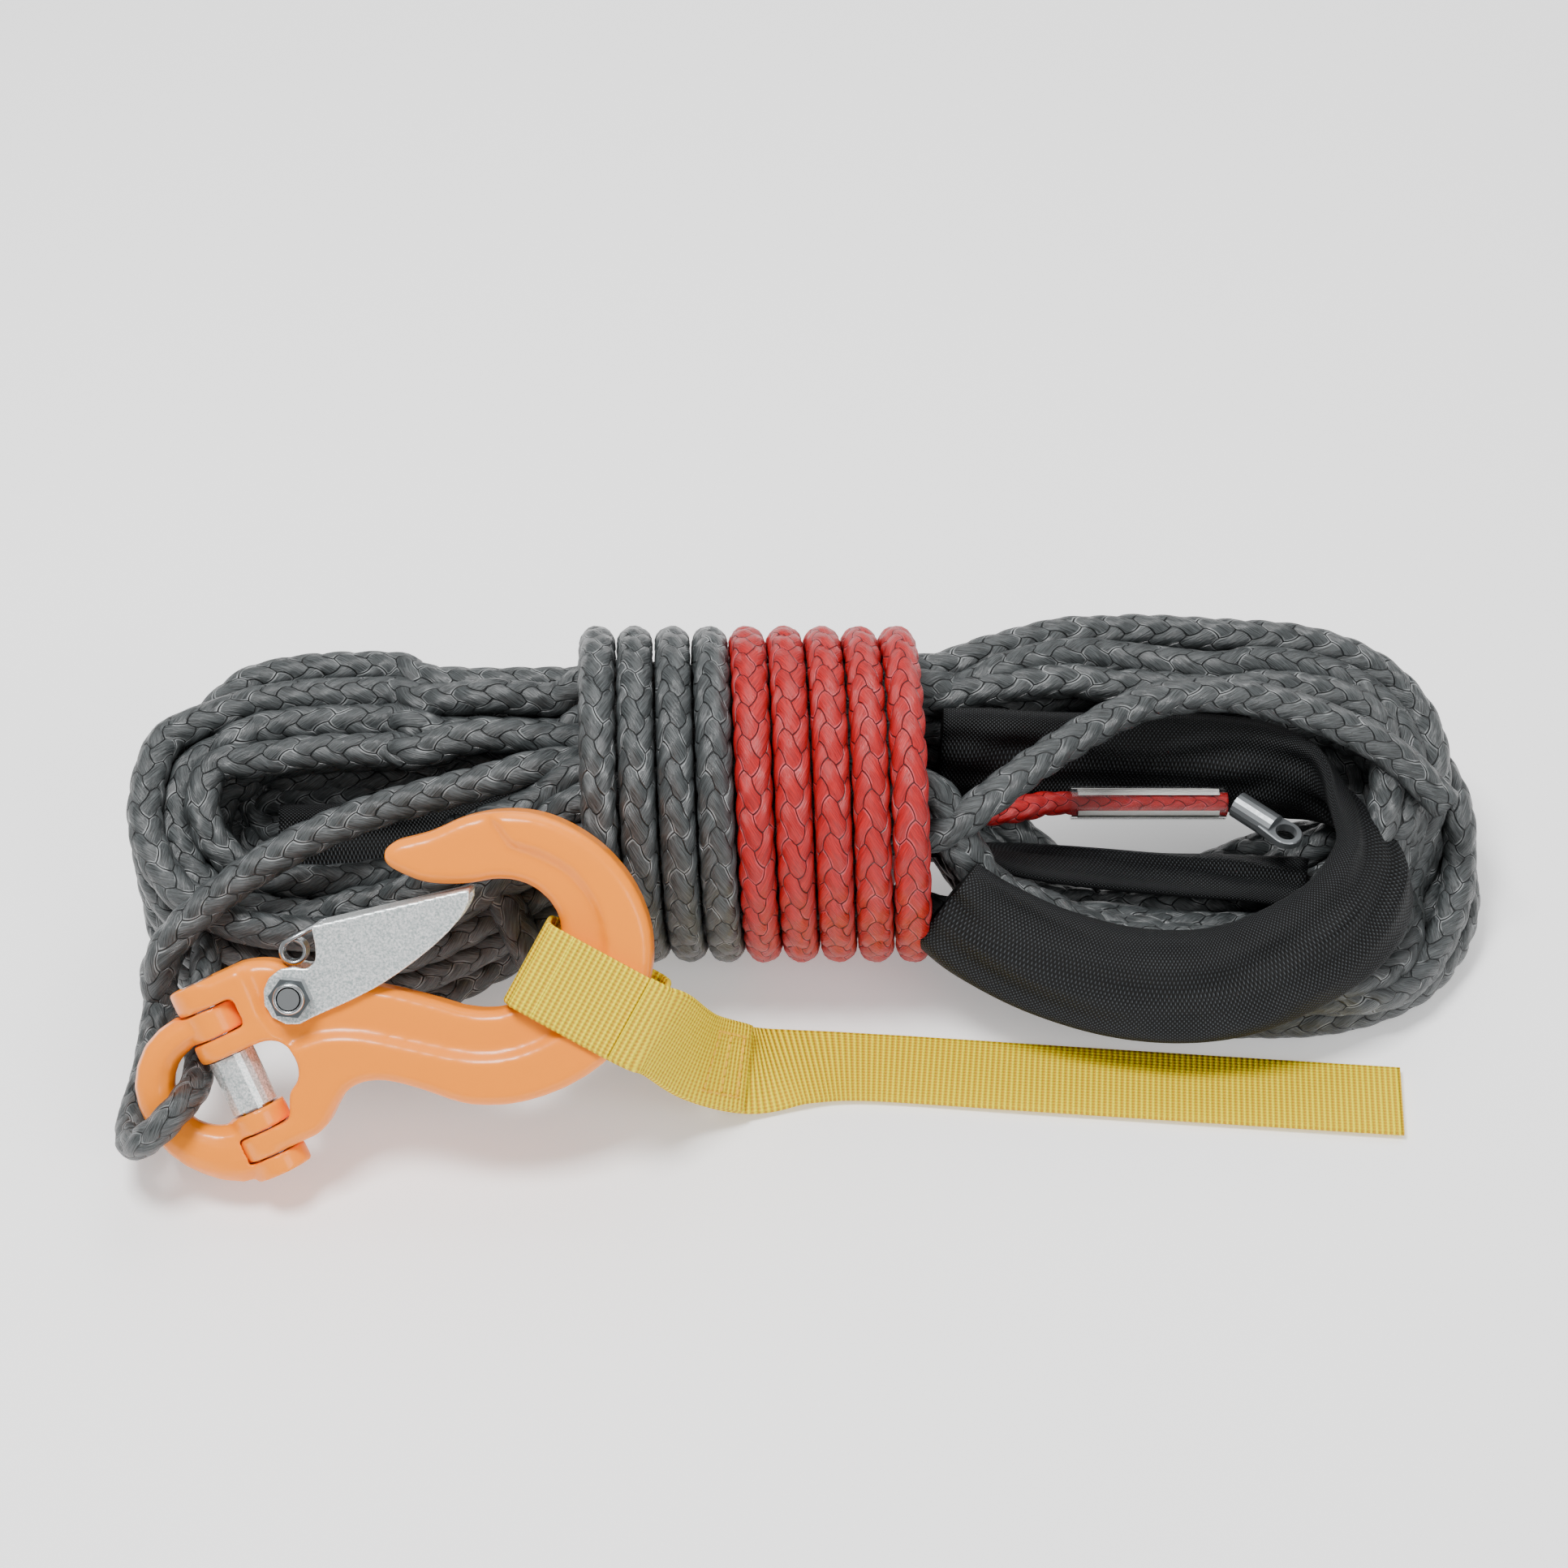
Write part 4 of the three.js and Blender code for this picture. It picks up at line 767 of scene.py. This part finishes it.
def wire(name, points, radius, material, sides=12):
    """A plain round wire through the points"""
    path = np.array(points)
    _, side, other = carried_frames(path)
    angle = np.arange(sides) / sides * 2 * math.pi
    ring = (np.cos(angle)[None, :, None] * side[:, None] + np.sin(angle)[None, :, None] * other[:, None])
    return skin(name, path[:, None] + ring * radius, material)


COIL_TURNS, COIL_STEPS = 4, 24
COIL_X, COIL_Y, COIL_RADIUS, COIL_HALF = 28, 25.8, 3.2, 3.2
LEG_X, LEG_Y = 39, 29.6
WIRE_RADIUS = 0.0007
coil = [in_hook(LEG_X, LEG_Y, -COIL_HALF)]
for i in range(COIL_TURNS * COIL_STEPS + 1):
    angle = math.pi / 2 - i / COIL_STEPS * 2 * math.pi
    coil.append(in_hook(COIL_X + COIL_RADIUS * math.cos(angle), COIL_Y + COIL_RADIUS * math.sin(angle),
                        -COIL_HALF + 2 * COIL_HALF * i / (COIL_TURNS * COIL_STEPS)))
coil.append(in_hook(LEG_X, LEG_Y, COIL_HALF))
spring = wire("spring_wire", [tuple(p) for p in coil], WIRE_RADIUS, steel_look)
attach(spring, "latch")
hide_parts("latch_spring")

# Spliced eye

# The rope's end is spliced into an eye round the bow of the half link, and is drawn a little thinner there.
EYE_ROPE = 0.0086
EYE_LINE = (
    (-5, 44, -49), (-14, 36, -39), (-20, 24, -27), (-27, 11, -16), (-33.5, 2, -7), (-34.8, -3, 1),
    (-30.5, -4, 8.5), (-23, -2, 11.2), (-16, 1, 8.2), (-12.6, 3.4, 0), (-10.8, 8, -9), (-7.5, 18, -19),
    (-3, 30, -30), (2, 40, -39))
eye_path = smooth_path([tuple(in_hook(*p)) for p in EYE_LINE], 0.0011)
eye = rope_piece("rope_eye_braid", eye_path, EYE_ROPE, grey_rope)
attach(eye, "hank")
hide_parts("rope_eye")

# Pull strap

# A 25 mm woven webbing. Its end goes round the hook's bowl and is sewn down on itself, and the tail lies on
# the floor.
strap_look, tree, surface = shader("strap_look", "#f0c400", 0.65, Specular_IOR_Level=0.25)
uv = add_node(tree, "ShaderNodeUVMap", {"uv_map": "cloth"})
RIB, YARN = 0.0016, 0.0011
scaled = add_node(tree, "ShaderNodeVectorMath", {"operation": "MULTIPLY"}, {
    1: (2 * math.pi / YARN, 2 * math.pi / RIB, 0)}, {0: uv.outputs[0]})
waves = add_node(tree, "ShaderNodeVectorMath", {"operation": "SINE"}, {}, {0: scaled.outputs[0]})
parts = add_node(tree, "ShaderNodeSeparateXYZ", {}, {}, {0: waves.outputs[0]})
weave = add_node(tree, "ShaderNodeMath", {"operation": "MULTIPLY_ADD"}, {1: 0.35}, {
    0: parts.outputs[0], 2: parts.outputs[1]})
ribs = add_node(tree, "ShaderNodeMapRange", {}, {
    "From Min": -1.1, "From Max": 1.2, "To Min": 0.0, "To Max": 1.0}, {"Value": weave.outputs[0]})
strap_colour = add_node(tree, "ShaderNodeValToRGB", {}, {}, {"Fac": ribs.outputs[0]})
strap_colour.color_ramp.elements[0].color = linear("#d19a00")
strap_colour.color_ramp.elements[1].position = 0.75
strap_colour.color_ramp.elements[1].color = linear("#ffe800")
tree.links.new(strap_colour.outputs[0], surface.inputs["Base Color"])
strap_bump = add_node(tree, "ShaderNodeBump", {}, {"Strength": 0.7, "Distance": 0.0005}, {
    "Height": weave.outputs[0]})
tree.links.new(strap_bump.outputs[0], surface.inputs["Normal"])
STRAP_WIDTH, STRAP_THICK, STRAP_STEP = 0.025, 0.0015, 0.0012
BOWL, BOWL_OUT = (95.5, -16.8), (0.597, -0.802)
LOOP_IN, LOOP_OUT, LOOP_HALF = -17.3, 19.5, 10.3


def on_bowl(reach, height, sideways=0.0):
    """A place on the strap's loop: out from the bowl's middle, over the face, and along the bowl's rim"""
    return in_hook(BOWL[0] + BOWL_OUT[0] * reach - BOWL_OUT[1] * sideways,
                   BOWL[1] + BOWL_OUT[1] * reach + BOWL_OUT[0] * sideways, height)


def webbing(name, stations, body):
    """A woven band through stations of place and width direction, with softly rounded selvedges"""
    spine = smooth_path([tuple(p) for p, _ in stations], STRAP_STEP)
    gaps = [(after[0] - before[0]).length for before, after in zip(stations, stations[1:])]
    stations_at = np.concatenate([[0], np.cumsum(gaps)])
    ahead, across, face = band_frames(spine, stations_at, [w for _, w in stations], 10)
    half, flat = STRAP_WIDTH / 2, STRAP_THICK / 2
    cut = [(-half, -flat * 0.4), (-half + 0.0005, -flat)]
    cut += [(x, -flat) for x in np.linspace(-half + 0.002, half - 0.002, 12)]
    cut += [(half - 0.0005, -flat), (half, -flat * 0.4)]
    cut = np.array(cut + [(x, -y) for x, y in cut[::-1]])
    band = spine[:, None] + across[:, None] * cut[None, :, :1] + face[:, None] * cut[None, :, 1:]
    far = np.arange(len(spine)) * STRAP_STEP
    piece = skin(name, band, strap_look, "cloth", cut[:, 0], np.roll(cut[:, 0], -1), far)
    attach(piece, body)
    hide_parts("pull_strap")
    return spine, ahead, across, face


rim_way = on_bowl(0, 0, 1) - on_bowl(0, 0, 0)
rim_way.normalize()
round_trip = []
CORNER = 4.2
round_trip.append(on_bowl(LOOP_OUT - CORNER, LOOP_HALF))
for corner_x, corner_y, first in (
        (LOOP_IN + CORNER, LOOP_HALF - CORNER, 90), (LOOP_IN + CORNER, -LOOP_HALF + CORNER, 180),
        (LOOP_OUT - CORNER, -LOOP_HALF + CORNER, 270)):
    for turn_by in (0, 30, 60, 90):
        angle = math.radians(first + turn_by)
        round_trip.append(on_bowl(corner_x + CORNER * math.cos(angle), corner_y + CORNER * math.sin(angle)))
for angle in (0, 30):
    round_trip.append(on_bowl(LOOP_OUT - CORNER + CORNER * math.cos(math.radians(angle)),
                              LOOP_HALF - CORNER + CORNER * math.sin(math.radians(angle))))
TAIL_SIDE = -0.036
tail_stations = [
    (on_bowl(LOOP_OUT + 6, LOOP_HALF - 6.5), Vector((0.47, 0.62, 0.62))),
    (Vector((-0.033, -0.0525, 0.025)), Vector((0.42, 0.75, 0.5))),
    (Vector((-0.020, -0.0445, 0.0105)), Vector((0.3, 0.9, 0.3))),
    (Vector((-0.005, -0.038, 0.0045)), Vector((0.15, 1, 0.05))),
    (Vector((0.015, TAIL_SIDE, 0.0019)), Vector((0.085, 1, 0))),
    (Vector((0.061, -0.0399, 0.0019)), Vector((0.085, 1, 0))),
    (Vector((0.111, -0.0442, 0.0019)), Vector((0.085, 1, 0))),
    (Vector((0.166, -0.0488, 0.0019)), Vector((0.085, 1, 0)))]
over = [(on_bowl(reach, LOOP_HALF + 0.3), rim_way) for reach in (LOOP_IN + 8, 0, 8, LOOP_OUT - 5)]
over.append((on_bowl(LOOP_OUT + 1, LOOP_HALF - 1.4), Vector((0.5, 0.57, 0.65))))
webbing("pull_strap_tail", over + tail_stations, "hook")
LIFT = Vector((0.1, -0.55, 0.83)).normalized() * (STRAP_THICK + 0.0002)
double = [(place + LIFT, wide_way) for place, wide_way in over[-2:] + tail_stations[:3]]
spine, ahead, across, face = webbing("pull_strap_doubling", double, "hook")

# A box of stitches holds the doubled end.
STITCH, THREAD = 0.0022, 0.0004
SEAM_LONG, SEAM_HALF = 0.0125, 0.0085
last = len(spine) - 4
first = last - int(SEAM_LONG / STRAP_STEP)
seams = [(index_at, side * SEAM_HALF, "along")
         for side in (-1, 1) for index_at in range(first, last + 1, 2)]
seams += [(index_at, place, "across") for index_at in (first, (first + last) // 2, last)
          for place in np.linspace(-SEAM_HALF + 0.0014, SEAM_HALF - 0.0014, 7)]
points, faces = [], []
for index_at, place, way in seams:
    outward_at = face[index_at] * (1 if face[index_at][2] > 0 else -1)
    run_at = ahead[index_at] if way == "along" else across[index_at]
    other_at = np.cross(run_at, outward_at)
    centre = spine[index_at] + across[index_at] * place + outward_at * (STRAP_THICK / 2 + 0.0001)
    base = len(points)
    for end_at, thick in ((-0.42, 0.5), (-0.25, 1), (0.25, 1), (0.42, 0.5)):
        for k in range(6):
            turn_at = k * math.pi / 3
            out_from = outward_at * math.sin(turn_at) + other_at * math.cos(turn_at)
            points.append(tuple(centre + run_at * STITCH * end_at + out_from * THREAD * thick))
    for ring_at in range(3):
        for k in range(6):
            low, high_at = base + ring_at * 6, base + ring_at * 6 + 6
            faces.append((low + k, low + (k + 1) % 6, high_at + (k + 1) % 6, high_at + k))
    faces += [tuple(range(base + 5, base - 1, -1)), tuple(range(base + 18, base + 24))]
thread_look = shader("thread_look", "#e8b400", 0.55)[0]
thread = mesh_object("strap_stitches", points, faces, thread_look)
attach(thread, "hook")
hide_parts("pull_strap")
webbing("pull_strap_loop", [(p, rim_way) for p in round_trip], "hook")
